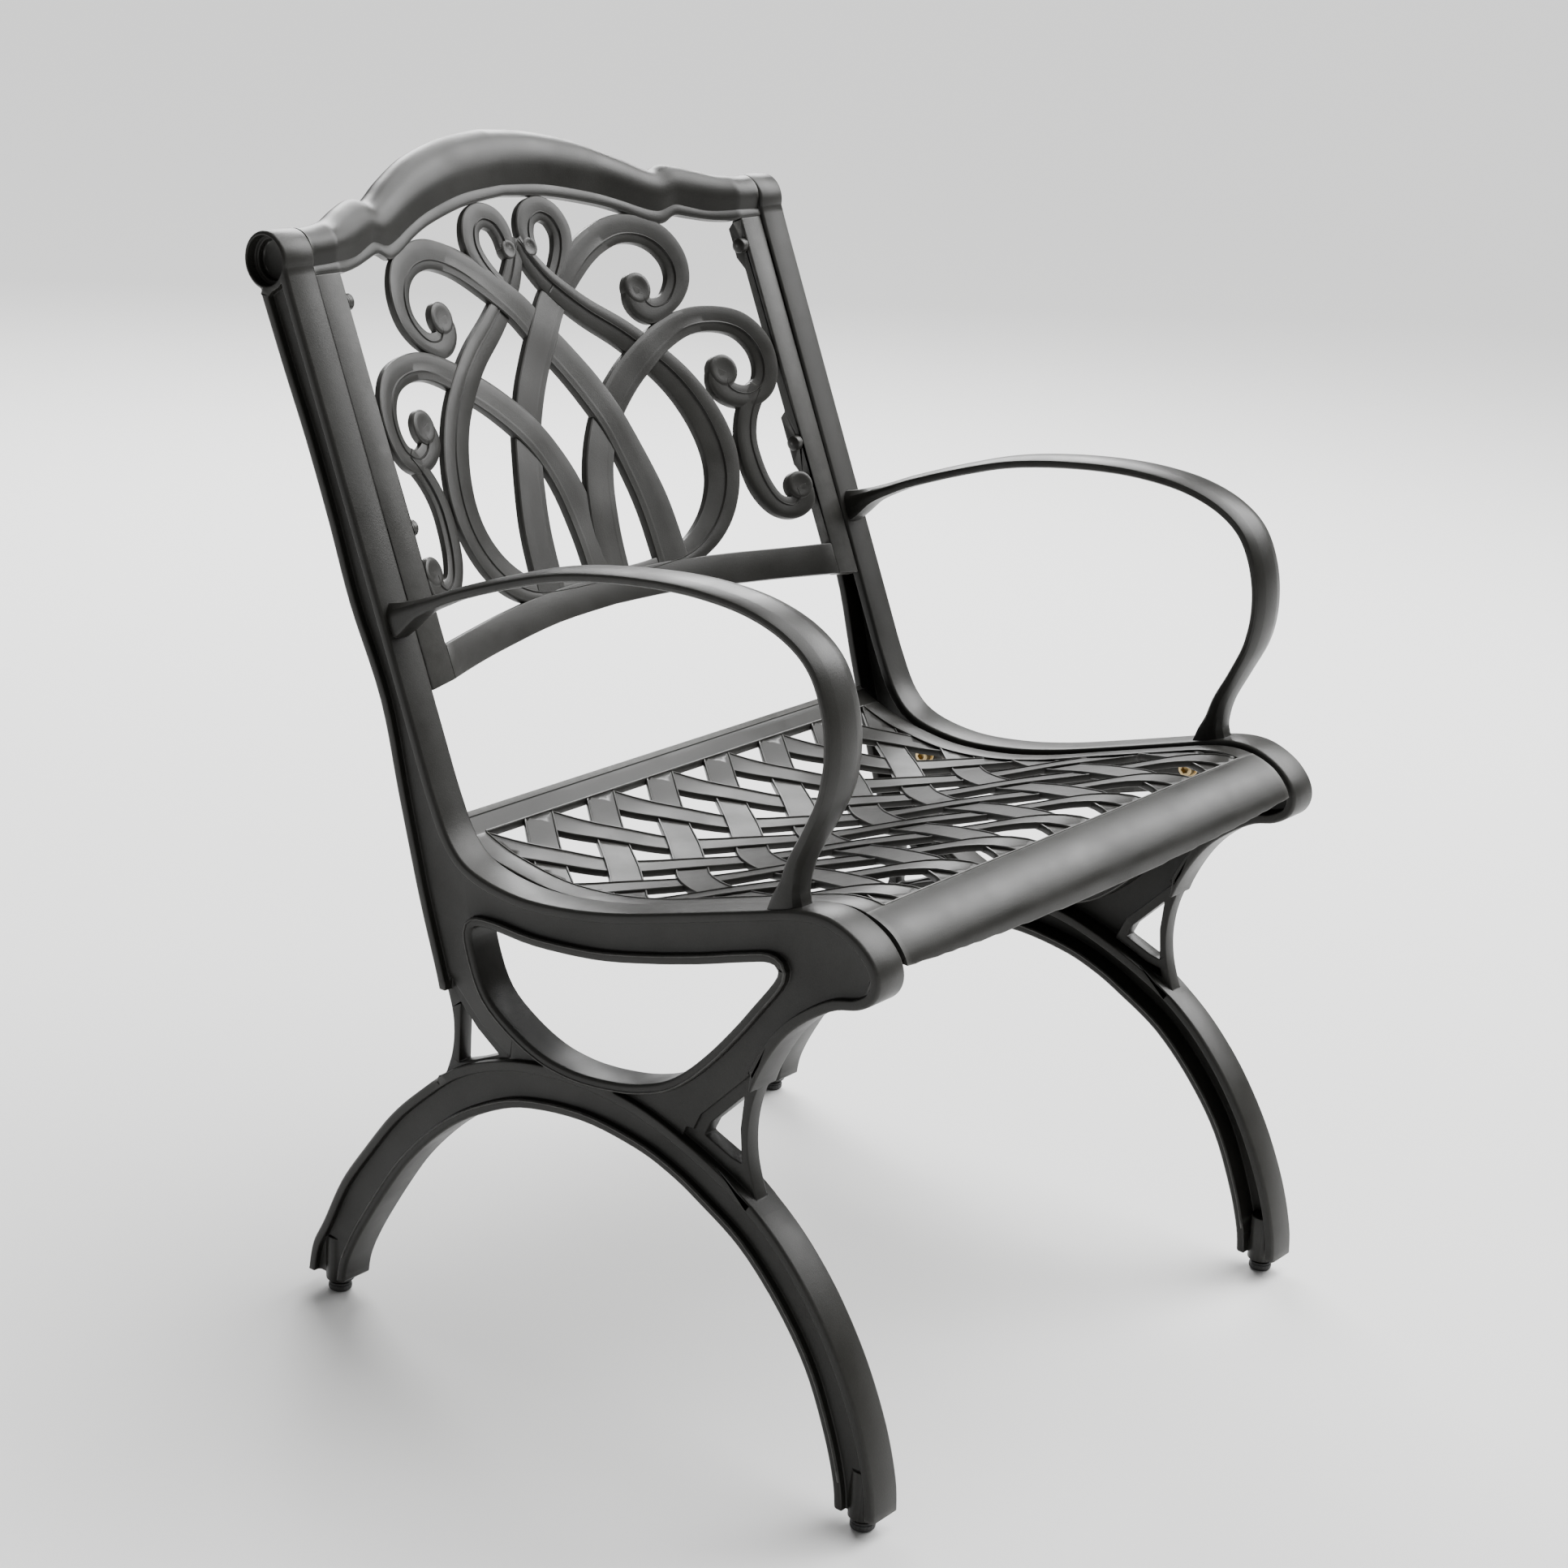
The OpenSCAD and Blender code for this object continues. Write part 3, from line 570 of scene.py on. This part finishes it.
def crest_section(x):
    low, lip, top = (float(np.interp(abs(x), p[:, 0], p[:, 1])) for p in LIPS)
    d = bow_at(x)
    high = (top - lip) / 2 + 2
    deep = CREST_DEEP / 2
    middle = d - CREST_PROUD + deep
    outer = roll(x, middle, top - high, deep, high)
    inner = roll(x, middle, top - high, deep - CREST_WALL, high - CREST_WALL)
    rear = d + BACK_THICK
    lip_front = [(x, low + 1.1, d), (x, low + 2.2, d - 0.3), (x, lip - 2.2, d - 0.3),
                 (x, lip - 0.9, d + 0.5)]
    lip_back = [(x, lip - 0.5, rear), (x, low + 1, rear), (x, low, rear - 1), (x, low, d + 1.1)]
    return [back_point(*p) for p in lip_front + outer + inner[::-1] + lip_back]


CREST_STATIONS = 181
stations = np.linspace(-INNER_X, INNER_X, CREST_STATIONS)
cast(loft("crest_casting", [crest_section(x) for x in stations], 40), "crest_rail")

# %% [markdown]
# ## Scrollwork
# The back is one casting that looks like interlaced ribbons. Each ribbon is a band with rounded
# edges and, along the inside of a curl, a fine raised line. Where two ribbons cross, one rises
# and the other dips by about a millimetre. Every curl ends in a round, slightly domed knob.

# %% Lines of the scrollwork, right half
HOOK = [
    (14, 324, 17), (14, 338, 21), (21, 350, 22), (36, 355, 22), (50, 348, 22), (56, 333, 22),
    (52, 318, 20), (42, 304, 17), (30, 292, 14), (20, 283, 10)]
UPPER_SCROLL = [
    (124, 273, 26), (121, 262, 27), (131, 252, 24), (148, 254, 19), (162, 263, 21),
    (171, 277, 24), (171, 295, 26), (161, 312, 27), (143, 323, 26), (120, 327, 26),
    (96, 322, 26), (72, 311, 27), (45, 292, 28), (20, 271, 30), (0, 248, 31)]
CROSS_LEG = [
    (0, 248, 31), (20, 222, 31), (38, 195, 32), (55, 160, 32), (68, 120, 34), (76, 82, 36),
    (79, 32, 37)]
RING = [
    (0, 331, 14), (12, 308, 20), (28, 287, 23), (58, 262, 25), (92, 238, 27), (118, 215, 29),
    (142, 185, 32), (158, 152, 35), (164, 120, 36), (159, 92, 34), (145, 68, 32),
    (124, 50, 28), (98, 39, 22), (60, 35, 14), (0, 34, 14)]
MIDDLE_SCROLL = [
    (190, 187, 28), (185, 176, 26), (194, 165, 22), (211, 160, 21), (228, 167, 22),
    (236, 184, 23), (234, 205, 24), (220, 224, 24), (196, 234, 23), (166, 236, 24),
    (134, 227, 26), (106, 213, 28), (80, 196, 29), (55, 174, 30), (34, 148, 31),
    (19, 116, 33), (11, 80, 34), (8, 32, 34)]
LOWER_SCROLL = [
    (236, 72, 24), (236, 60, 24), (224, 54, 20), (209, 61, 20), (199, 78, 22), (195, 100, 22),
    (196, 124, 21), (205, 146, 20), (222, 166, 18)]
KNOBS = [(13, 323, 9), (123, 273, 14.5), (190, 187, 15), (236, 72, 13)]
STEP = 1.1
REACH = 24
# Where ribbons cross: the one on top, the one beneath, x and s
CROSSINGS = [
    ("left_sweep", "left_ring", -31, 284), ("right_sweep", "left_sweep", 0, 248),
    ("right_ring", "right_sweep", 31, 284), ("right_middle", "right_ring", 112, 220),
    ("left_sweep", "right_middle", 52, 171), ("right_middle", "left_middle", 0, 96),
    ("left_ring", "left_middle", -112, 220), ("left_middle", "right_sweep", -52, 171)]


def lift_of(ribbon, x, s):
    lift = 0.0
    for over, under, cx, cs in CROSSINGS:
        if ribbon in (over, under):
            near = math.exp(-((x - cx) ** 2 + (s - cs) ** 2) / REACH ** 2)
            lift += STEP * near * (1 if ribbon == over else -1)
    return lift


# %% A ribbon with a raised line
def ribbon_front(half, line_at, q):
    flat = 0.35 + 0.75 * q
    return [
        (half, 2.4), (half - 0.3, 1.2 + 0.4 * q), (half - 1.2, flat + 0.15), (line_at + 2.0, flat),
        (line_at + 1.0, flat - 0.1), (line_at, 0.35 - 0.85 * q), (line_at - 1.0, 0.35 + 0.1 * q),
        (0.3 * line_at - 0.35 * half, 0.0), (-half + 4.5, 0.1), (-half + 1.3, 0.55),
        (-half + 0.3, 1.3), (-half, 2.4)]


def ribbon_piece(name, points, inner, line_from_edge, fade):
    path = curve(points, 8)
    sections = []
    for i, ((x, s, width), (nx, ns)) in enumerate(zip(path, normals_of(path))):
        half = width / 2
        t = i / (len(path) - 1)
        q = max(0.0, min(1.0, (fade[1] - t) / (fade[1] - fade[0]), t / 0.04))
        front = ribbon_front(half, half - min(line_from_edge, width * 0.55), q)
        back = [(-half, BACK_THICK - 1), (-half + 1, BACK_THICK), (half - 1, BACK_THICK),
                (half, BACK_THICK - 1)]
        lift = lift_of(name, x, s)
        section = []
        for a, d in front + back:
            px = max(-STILE_IN, min(STILE_IN, x + nx * a * inner))
            section.append(back_point(px, s + ns * a * inner, bow_at(px) + d - lift))
        sections.append(section)
    return loft(name, sections, 28)


KNOB_SIDES = 28


def knob_piece(x, s, radius):
    rings = [(0.02, 0.25), (0.3, 0.2), (0.55, -0.15), (0.72, -0.4), (0.86, -0.25), (0.95, 0.4),
             (1.0, 1.6), (1.0, BACK_THICK - 1), (0.94, BACK_THICK), (0.02, BACK_THICK)]
    turns = [2 * math.pi * k / KNOB_SIDES for k in range(KNOB_SIDES)]
    sections = []
    for share, d in rings:
        around = [(x + share * radius * math.cos(w), s + share * radius * math.sin(w)) for w in turns]
        sections.append([back_point(px, ps, bow_at(px) + d) for px, ps in around])
    return loft("knob", sections, 35)


FADE_OUT, FADE_MIDDLE, WHOLE = (0.38, 0.62), (0.42, 0.58), (1.0, 1.5)
scrolls = [
    ribbon_piece("left_sweep", mirrored(UPPER_SCROLL) + CROSS_LEG[1:], -1, 8, FADE_OUT),
    ribbon_piece("right_sweep", UPPER_SCROLL + mirrored(CROSS_LEG)[1:], 1, 8, FADE_OUT),
    ribbon_piece("right_ring", RING, -1, 19, WHOLE),
    ribbon_piece("left_ring", mirrored(RING), 1, 19, WHOLE),
    ribbon_piece("right_middle", MIDDLE_SCROLL, 1, 8, FADE_MIDDLE),
    ribbon_piece("left_middle", mirrored(MIDDLE_SCROLL), -1, 8, FADE_MIDDLE),
    ribbon_piece("right_lower", LOWER_SCROLL, -1, 7.5, WHOLE),
    ribbon_piece("left_lower", mirrored(LOWER_SCROLL), 1, 7.5, WHOLE),
    ribbon_piece("right_hook", HOOK, -1, 7.5, WHOLE),
    ribbon_piece("left_hook", mirrored(HOOK), 1, 7.5, WHOLE)]
for knob in KNOBS:
    scrolls.append(knob_piece(*knob))
    scrolls.append(knob_piece(-knob[0], *knob[1:]))
cast(join("scrollwork_casting", scrolls), "back_scrollwork")

# %% [markdown]
# ## Seat
# The seat is a casting that looks woven. Straps run both ways across it on the curve of the
# seat, each crosses over one strap and under the next, and each has a fine raised line along
# both edges. The straps are lofted, then cut to the seat's opening with the bisect tool.

# %% Seat line and woven straps
SEAT_LINE = [
    (-75, 429), (-90, 421), (-115, 411), (-139, 405), (-184, 399), (-234, 402), (-284, 412),
    (-344, 430), (-404, 448), (-449, 461), (-479, 463), (-504, 455), (-519, 441), (-524, 427),
    (-521, 408)]
SEAT_TOP = np.array(curve(SEAT_LINE, 12))
TOP_END = int(np.argmin(SEAT_TOP[:, 0]))
ROW_Y = [-52, -97, -142, -187, -226, -263, -320, -388, -461, -534]
PITCH, STRAP, SEAT_THICK, REAR_Y, FRONT_Y = 75.5, 27, 6, -97, -484
FIRST_STRAP, LAST_STRAP = -9, 4


def seat_z(y):
    top = SEAT_TOP[:TOP_END + 1][::-1]
    return float(np.interp(y, top[:, 0], top[:, 1]))


def strap_piece(k, family):
    points = [((k + i / 2) * PITCH, y, i) for i, y in enumerate(ROW_Y)]
    path = [p for p in curve(points, 8) if FRONT_Y - 12 < p[1] < REAR_Y + 12]
    half = STRAP / 2
    profile = [
        (half, -1.6), (half - 0.2, -0.4), (half - 0.7, 0.5), (half - 1.5, 0.6), (half - 2.2, -0.4),
        (half - 5, -0.5), (0, -0.4), (-half + 5, -0.5), (-half + 2.2, -0.4), (-half + 1.5, 0.6),
        (-half + 0.7, 0.5), (-half + 0.2, -0.4), (-half, -1.6), (-half, -4.6), (-half + 0.7, -5.2),
        (half - 0.7, -5.2), (half, -4.6)]
    sections = []
    for (x, y, i), (nx, ny) in zip(path, normals_of(path)):
        wave = 0.5 * (math.cos(math.pi * i) * family - 1)
        sections.append([
            side_point(family * (x + nx * a), y + ny * a, seat_z(y + ny * a) + h + 1.5 * wave)
            for a, h in profile])
    return loft("strap", sections, 35)


def cut(piece, point, normal):
    edit(piece, all_of_it, lambda: bpy.ops.mesh.bisect(
        plane_co=point, plane_no=normal, use_fill=True, clear_outer=True))


def weave():
    straps = []
    for family in (1, -1):
        for k in range(FIRST_STRAP, LAST_STRAP + 1):
            piece = strap_piece(k, family)
            cut(piece, (LATTICE_HALF * MM, 0, 0), (1, 0, 0))
            cut(piece, (-LATTICE_HALF * MM, 0, 0), (-1, 0, 0))
            cut(piece, side_point(0, REAR_Y, 0), (0, 1, 0))
            cut(piece, side_point(0, FRONT_Y, 0), (0, -1, 0))
            if len(piece.data.vertices) > 8:
                edit(piece, face_outwards)
                straps.append(piece)
            else:
                bpy.data.objects.remove(piece)
    print("straps", len(straps))
    return straps


cast(join("woven_seat", weave()), "seat_lattice")

# %% [markdown]
# The front of the seat rolls over into an apron whose lower edge dips in the middle. Raised
# lines mark where the straps meet the rear bar, the apron and the side borders.

# %% Front apron
APRON_END_Z, APRON_DIP = 433, 9
APRON_LINE = curve([p for p in SEAT_LINE if p[0] < FRONT_Y + 40] + [(-514, 398)], 16)
APRON_STEPS, APRON_STATIONS = 44, 61


def apron_section(x):
    low = APRON_END_Z - APRON_DIP * (1 - (x / SEAT_OUT) ** 2)
    start = next(i for i, p in enumerate(APRON_LINE) if p[0] <= FRONT_Y)
    nose = int(np.argmin([p[0] for p in APRON_LINE]))
    end = next((i for i, p in enumerate(APRON_LINE) if i > 30 and p[1] <= low), nose)
    marks = np.linspace(start, end, APRON_STEPS)
    line = [tuple(np.interp(m, range(len(APRON_LINE)), [p[c] for p in APRON_LINE]) for c in (0, 1))
            for m in marks]
    under = [(y + ny * SEAT_THICK, z + nz * SEAT_THICK)
             for (y, z), (ny, nz) in zip(line, normals_of(line))]
    under[-2:] = [(y, max(z, low + 0.8)) for y, z in under[-2:]]
    ends = [(line[-1][0] + 1.5, low - 0.4), (under[-1][0] - 1.5, low - 0.2)]
    return [side_point(x, y, z) for y, z in line + ends + under[::-1]]


places = np.linspace(-SEAT_OUT, SEAT_OUT, APRON_STATIONS)
cast(loft("apron_casting", [apron_section(x) for x in places], 40), "front_apron")

# %% Bead lines on the seat
beads = []
for side in (-1, 1):
    rows = [(y, z) for y, z in SEAT_TOP if FRONT_Y < y < REAR_Y]
    beads.append(swept("bead", [side_point(side * (LATTICE_HALF + 0.6), y, z) for y, z in rows], LINE_R))
for y in (REAR_Y + 0.6, FRONT_Y + 0.4):
    xs = np.linspace(-LATTICE_HALF, LATTICE_HALF, 9)
    beads.append(swept("bead", [side_point(x, y, seat_z(y)) for x in xs], LINE_R))
cast(join("seat_border_lines", beads))

# %% [markdown]
# ## Screws, washers, caps and glides
# These are turned parts, so each is a stack of rings about its own line. The radius may also
# depend on the angle, which gives the six-sided socket of a screw, the ribs round a nylon glide
# and a true helical thread on its stud. A plain spin could give only round rings.

# %% Turned pieces
def turned(name, rings, radius_at, put, sides=48, angle=30):
    turns = [2 * math.pi * k / sides for k in range(sides)]
    sections = []
    for r, h, kind in rings:
        radii = [radius_at(r, h, kind, w) for w in turns]
        sections.append([put(q * math.cos(w), q * math.sin(w), h) for q, w in zip(radii, turns)])
    return loft(name, sections, angle)


RIBS, RIB_DEEP = 20, 0.35
THREAD_PITCH, THREAD_DEEP = 1.25, 0.62


def socket_radius(r, h, kind, w):
    sixth = math.pi / 3
    return r / math.cos((w + sixth / 2) % sixth - sixth / 2) if kind == "hex" else r


def rib_radius(r, h, kind, w):
    return r - RIB_DEEP * (0.5 + 0.5 * math.cos(RIBS * w)) if kind == "rib" else r


def thread_radius(r, h, kind, w):
    if kind != "thread":
        return r
    phase = (h / THREAD_PITCH - w / (2 * math.pi)) % 1
    return r - THREAD_DEEP * abs(2 * phase - 1)


# %% Seat screws and their washers
SEAT_SCREWS = [(-159, 384), (-430, 438)]
WASHER, FLANGE_IN, HEAD = 1.6, SEAT_OUT - 6, 8
SCREW_RINGS = [
    (0.05, 5.0, "round"), (1.5, 4.9, "hex"), (3.0, 4.4, "hex"), (3.0, 0.5, "hex"), (3.35, 0.0, "hex"),
    (5.1, 0.0, "round"), (6.1, 0.5, "round"), (6.5, 1.3, "round"), (6.5, 7.6, "round"),
    (6.2, HEAD, "round"), (4.0, HEAD, "round"), (4.0, HEAD + 24, "round"), (3.2, HEAD + 24.8, "round"),
    (0.05, HEAD + 24.8, "round")]
WASHER_RINGS = [
    (4.3, 0.25, "round"), (4.5, 0.0, "round"), (7.7, 0.0, "round"), (8.0, 0.3, "round"),
    (8.0, 1.3, "round"), (7.7, WASHER, "round"), (4.5, WASHER, "round"), (4.3, 1.35, "round")]


def from_side(side, y, z, start, turn=0.0):
    def put(a, b, h):
        c, d = math.cos(turn), math.sin(turn)
        return side_point(side * (start + h), y + a * c - b * d, z + a * d + b * c)
    return put


def ring_of(name, rings, put):
    # A washer closes on itself: its last ring is its first
    return turned(name, rings + [rings[0]], socket_radius, put, 40)


screws, washers = [], []
for side in (-1, 1):
    for i, (y, z) in enumerate(SEAT_SCREWS):
        head = FLANGE_IN - WASHER - HEAD
        put = from_side(side, y, z, head, 0.3 + i)
        screws.append(turned("screw", SCREW_RINGS, socket_radius, put))
        washers.append(ring_of("washer", WASHER_RINGS, from_side(side, y, z, FLANGE_IN - WASHER)))
for name, pieces, node in (("seat_socket_screws", screws, "seat_screws"),
                           ("seat_screw_rings", washers, "seat_screw_washers")):
    coat(join(name, pieces), ZINC, "zinc")
    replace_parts(bpy.data.objects[name], node)

# %% Back screws, washers and domed caps
BACK_SCREWS, BACK_SCREW_D = (110, 293), 7
BACK_RINGS = [(0.05, 0.6, "round"), (5.2, 0.2, "round"), (5.9, 0.6, "round"), (6.0, 1.0, "round"),
              (6.0, 5.0, "round"), (4.0, 5.0, "round"), (4.0, 45.6, "round"), (0.05, 46.0, "round")]
BACK_WASHER_RINGS = [
    (4.3, 0.2, "round"), (4.5, 0.0, "round"), (6.6, 0.0, "round"), (6.8, 0.2, "round"),
    (6.8, 1.4, "round"), (6.6, WASHER, "round"), (4.5, WASHER, "round"), (4.3, 1.4, "round")]
CAP_RINGS = [(6.2, 0.0, "round"), (6.5, 0.0, "round"), (6.8, 0.3, "round"), (6.8, 3.9, "round")]
CAP_RINGS += [(6.8 * math.cos(math.radians(t)), 4 + 2.7 * math.sin(math.radians(t)), "round")
              for t in (8, 18, 30, 45, 60, 75)]
CAP_RINGS += [(0.05, 6.7, "round"), (0.05, 5.4, "round"), (6.1, 5.2, "round")]
BACK_HEAD, CAP_SIDES = 5, 40


def on_stile(side, s, start, way=1):
    def put(a, b, h):
        return back_point(side * (start + way * h), s + b, BACK_SCREW_D + a)
    return put


back_screws, back_washers, caps = [], [], []
for side in (-1, 1):
    for s in BACK_SCREWS:
        seat = STILE_IN - WASHER
        put = on_stile(side, s, seat - BACK_HEAD)
        back_screws.append(turned("screw", BACK_RINGS, socket_radius, put))
        back_washers.append(ring_of("washer", BACK_WASHER_RINGS, on_stile(side, s, seat)))
        caps.append(turned("cap", CAP_RINGS, socket_radius, on_stile(side, s, seat, -1), CAP_SIDES))
for name, pieces, node in (("back_socket_screws", back_screws, "back_screws"),
                           ("back_screw_rings", back_washers, "back_screw_washers"),
                           ("back_screw_domes", caps, "back_screw_caps")):
    cast(join(name, pieces), node)

# %% Foot studs and glides
GLIDE_RINGS = [
    (0.05, 0.0, "round"), (7.4, 0.0, "round"), (8.4, 0.4, "round"), (9.4, 1.4, "round"),
    (9.7, 2.0, "round"), (9.9, 2.4, "rib"), (9.9, 5.2, "rib"), (9.5, 5.6, "round"),
    (9.1, 5.8, "round"), (9.1, 6.2, "round"), (9.3, 6.6, "round"), (9.0, 7.4, "round"),
    (8.0, 7.9, "round"), (5.0, 8.0, "round"), (4.4, 7.7, "round"), (4.1, 7.2, "round"),
    (4.1, 3.0, "round"), (0.05, 3.0, "round")]
STUD_LOW, STUD_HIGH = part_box("foot_stud_front_right")
STUD_FROM, STUD_LONG = STUD_LOW.z / MM, (STUD_HIGH.z - STUD_LOW.z) / MM
STUD_RINGS = [(0.05, 0.0, "round"), (3.2, 0.0, "round"), (3.5, 0.4, "round")]
STUD_RINGS += [(4.0, h, "thread") for h in np.arange(0.8, STUD_LONG - 0.8, 0.16)]
STUD_RINGS += [(3.4, STUD_LONG - 0.4, "round"), (3.0, STUD_LONG, "round"), (0.05, STUD_LONG, "round")]


def upright(x, y, low):
    return lambda a, b, h: (x + a * MM, y + b * MM, (low + h) * MM)


for corner in ("front_left", "front_right", "rear_left", "rear_right"):
    low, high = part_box("foot_pad_" + corner)
    x, y = (low.x + high.x) / 2, (low.y + high.y) / 2
    stud = turned("glide_stud_" + corner, STUD_RINGS, thread_radius, upright(x, y, STUD_FROM), 24, 50)
    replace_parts(coat(stud, ZINC, "zinc", "stud_" + corner), "foot_stud_" + corner)
    pad = turned("glide_" + corner, GLIDE_RINGS, rib_radius, upright(x, y, low.z / MM), 80, 35)
    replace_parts(coat(pad, NYLON, "nylon", "pad_" + corner), "foot_pad_" + corner)
print("glides", len(STUD_RINGS), "rings in each stud")

# %% Carried-over parts get their finish
for name, node in NODES.items():
    material = ZINC if name.startswith(("seat_screw", "foot_stud")) else CHARCOAL
    if name.startswith("foot_pad"):
        material = NYLON
    node.data.materials.clear()
    node.data.materials.append(material)
print("finished", len(NODES), "nodes")

# %% [markdown]
# ## Studio
# A pale floor, one soft light to the right, a stronger one behind on the same side, and a wide,
# very soft sun as the ceiling. The two low lights graze the crest, the arms and the apron and give
# them their grey sheen. No lamp stands on the left, so the outer faces there stay dark.

# %% Floor, lights and camera
bpy.ops.object.select_all(action="DESELECT")
bpy.ops.mesh.primitive_plane_add(size=30)
floor = bpy.context.object
floor.name = "studio_floor"
paper = bpy.data.materials.new("studio_paper")
paper.use_nodes = True
paper.node_tree.nodes["Principled BSDF"].inputs["Base Color"].default_value = (0.74, 0.74, 0.735, 1)
paper.node_tree.nodes["Principled BSDF"].inputs["Roughness"].default_value = 0.9
floor.data.materials.append(paper)

world = bpy.data.worlds.new("studio")
bpy.context.scene.world = world
world.use_nodes = True
world.node_tree.nodes["Background"].inputs["Color"].default_value = (1, 1, 1, 1)
world.node_tree.nodes["Background"].inputs["Strength"].default_value = 0.22


def softbox(name, place, target, size, power):
    bpy.ops.object.light_add(type="AREA", location=place)
    lamp = bpy.context.object
    lamp.name = name
    lamp.data.shape = "RECTANGLE"
    lamp.data.size, lamp.data.size_y = size
    lamp.data.energy = power
    aim = Vector(target) - Vector(place)
    lamp.rotation_euler = aim.to_track_quat("-Z", "Y").to_euler()
    return lamp


MIDDLE = (0, 0, 0.5)
softbox("right", (2.6, -0.9, 2.5), MIDDLE, (2.0, 2.0), 120)
softbox("behind", (2.3, 2.4, 2.4), MIDDLE, (2.2, 1.6), 190)
bpy.ops.object.light_add(type="SUN", location=(0.5, -0.2, 3))
sky = bpy.context.object
sky.name = "ceiling"
sky.data.energy = 5.5
sky.data.angle = math.radians(60)
sky.rotation_euler = Vector((-0.5, 0.25, -1)).to_track_quat("-Z", "Y").to_euler()

EYE = (-2.03846, -1.54449, 1.28027)
RIGHT = Vector((0.61472489, -0.78675286, 0.05597533))
UP = Vector((0.21612597, 0.23626996, 0.94734686))
BACKWARD = Vector((-0.75855314, -0.57025997, 0.31527876))
bpy.ops.object.camera_add(location=EYE)
camera = bpy.context.object
camera.name = "front_camera"
camera.rotation_euler = Matrix((RIGHT, UP, BACKWARD)).transposed().to_euler()
camera.data.sensor_width = 36
camera.data.lens = 74.39
bpy.context.scene.camera = camera
print("camera looks", tuple(round(c, 3) for c in -BACKWARD))
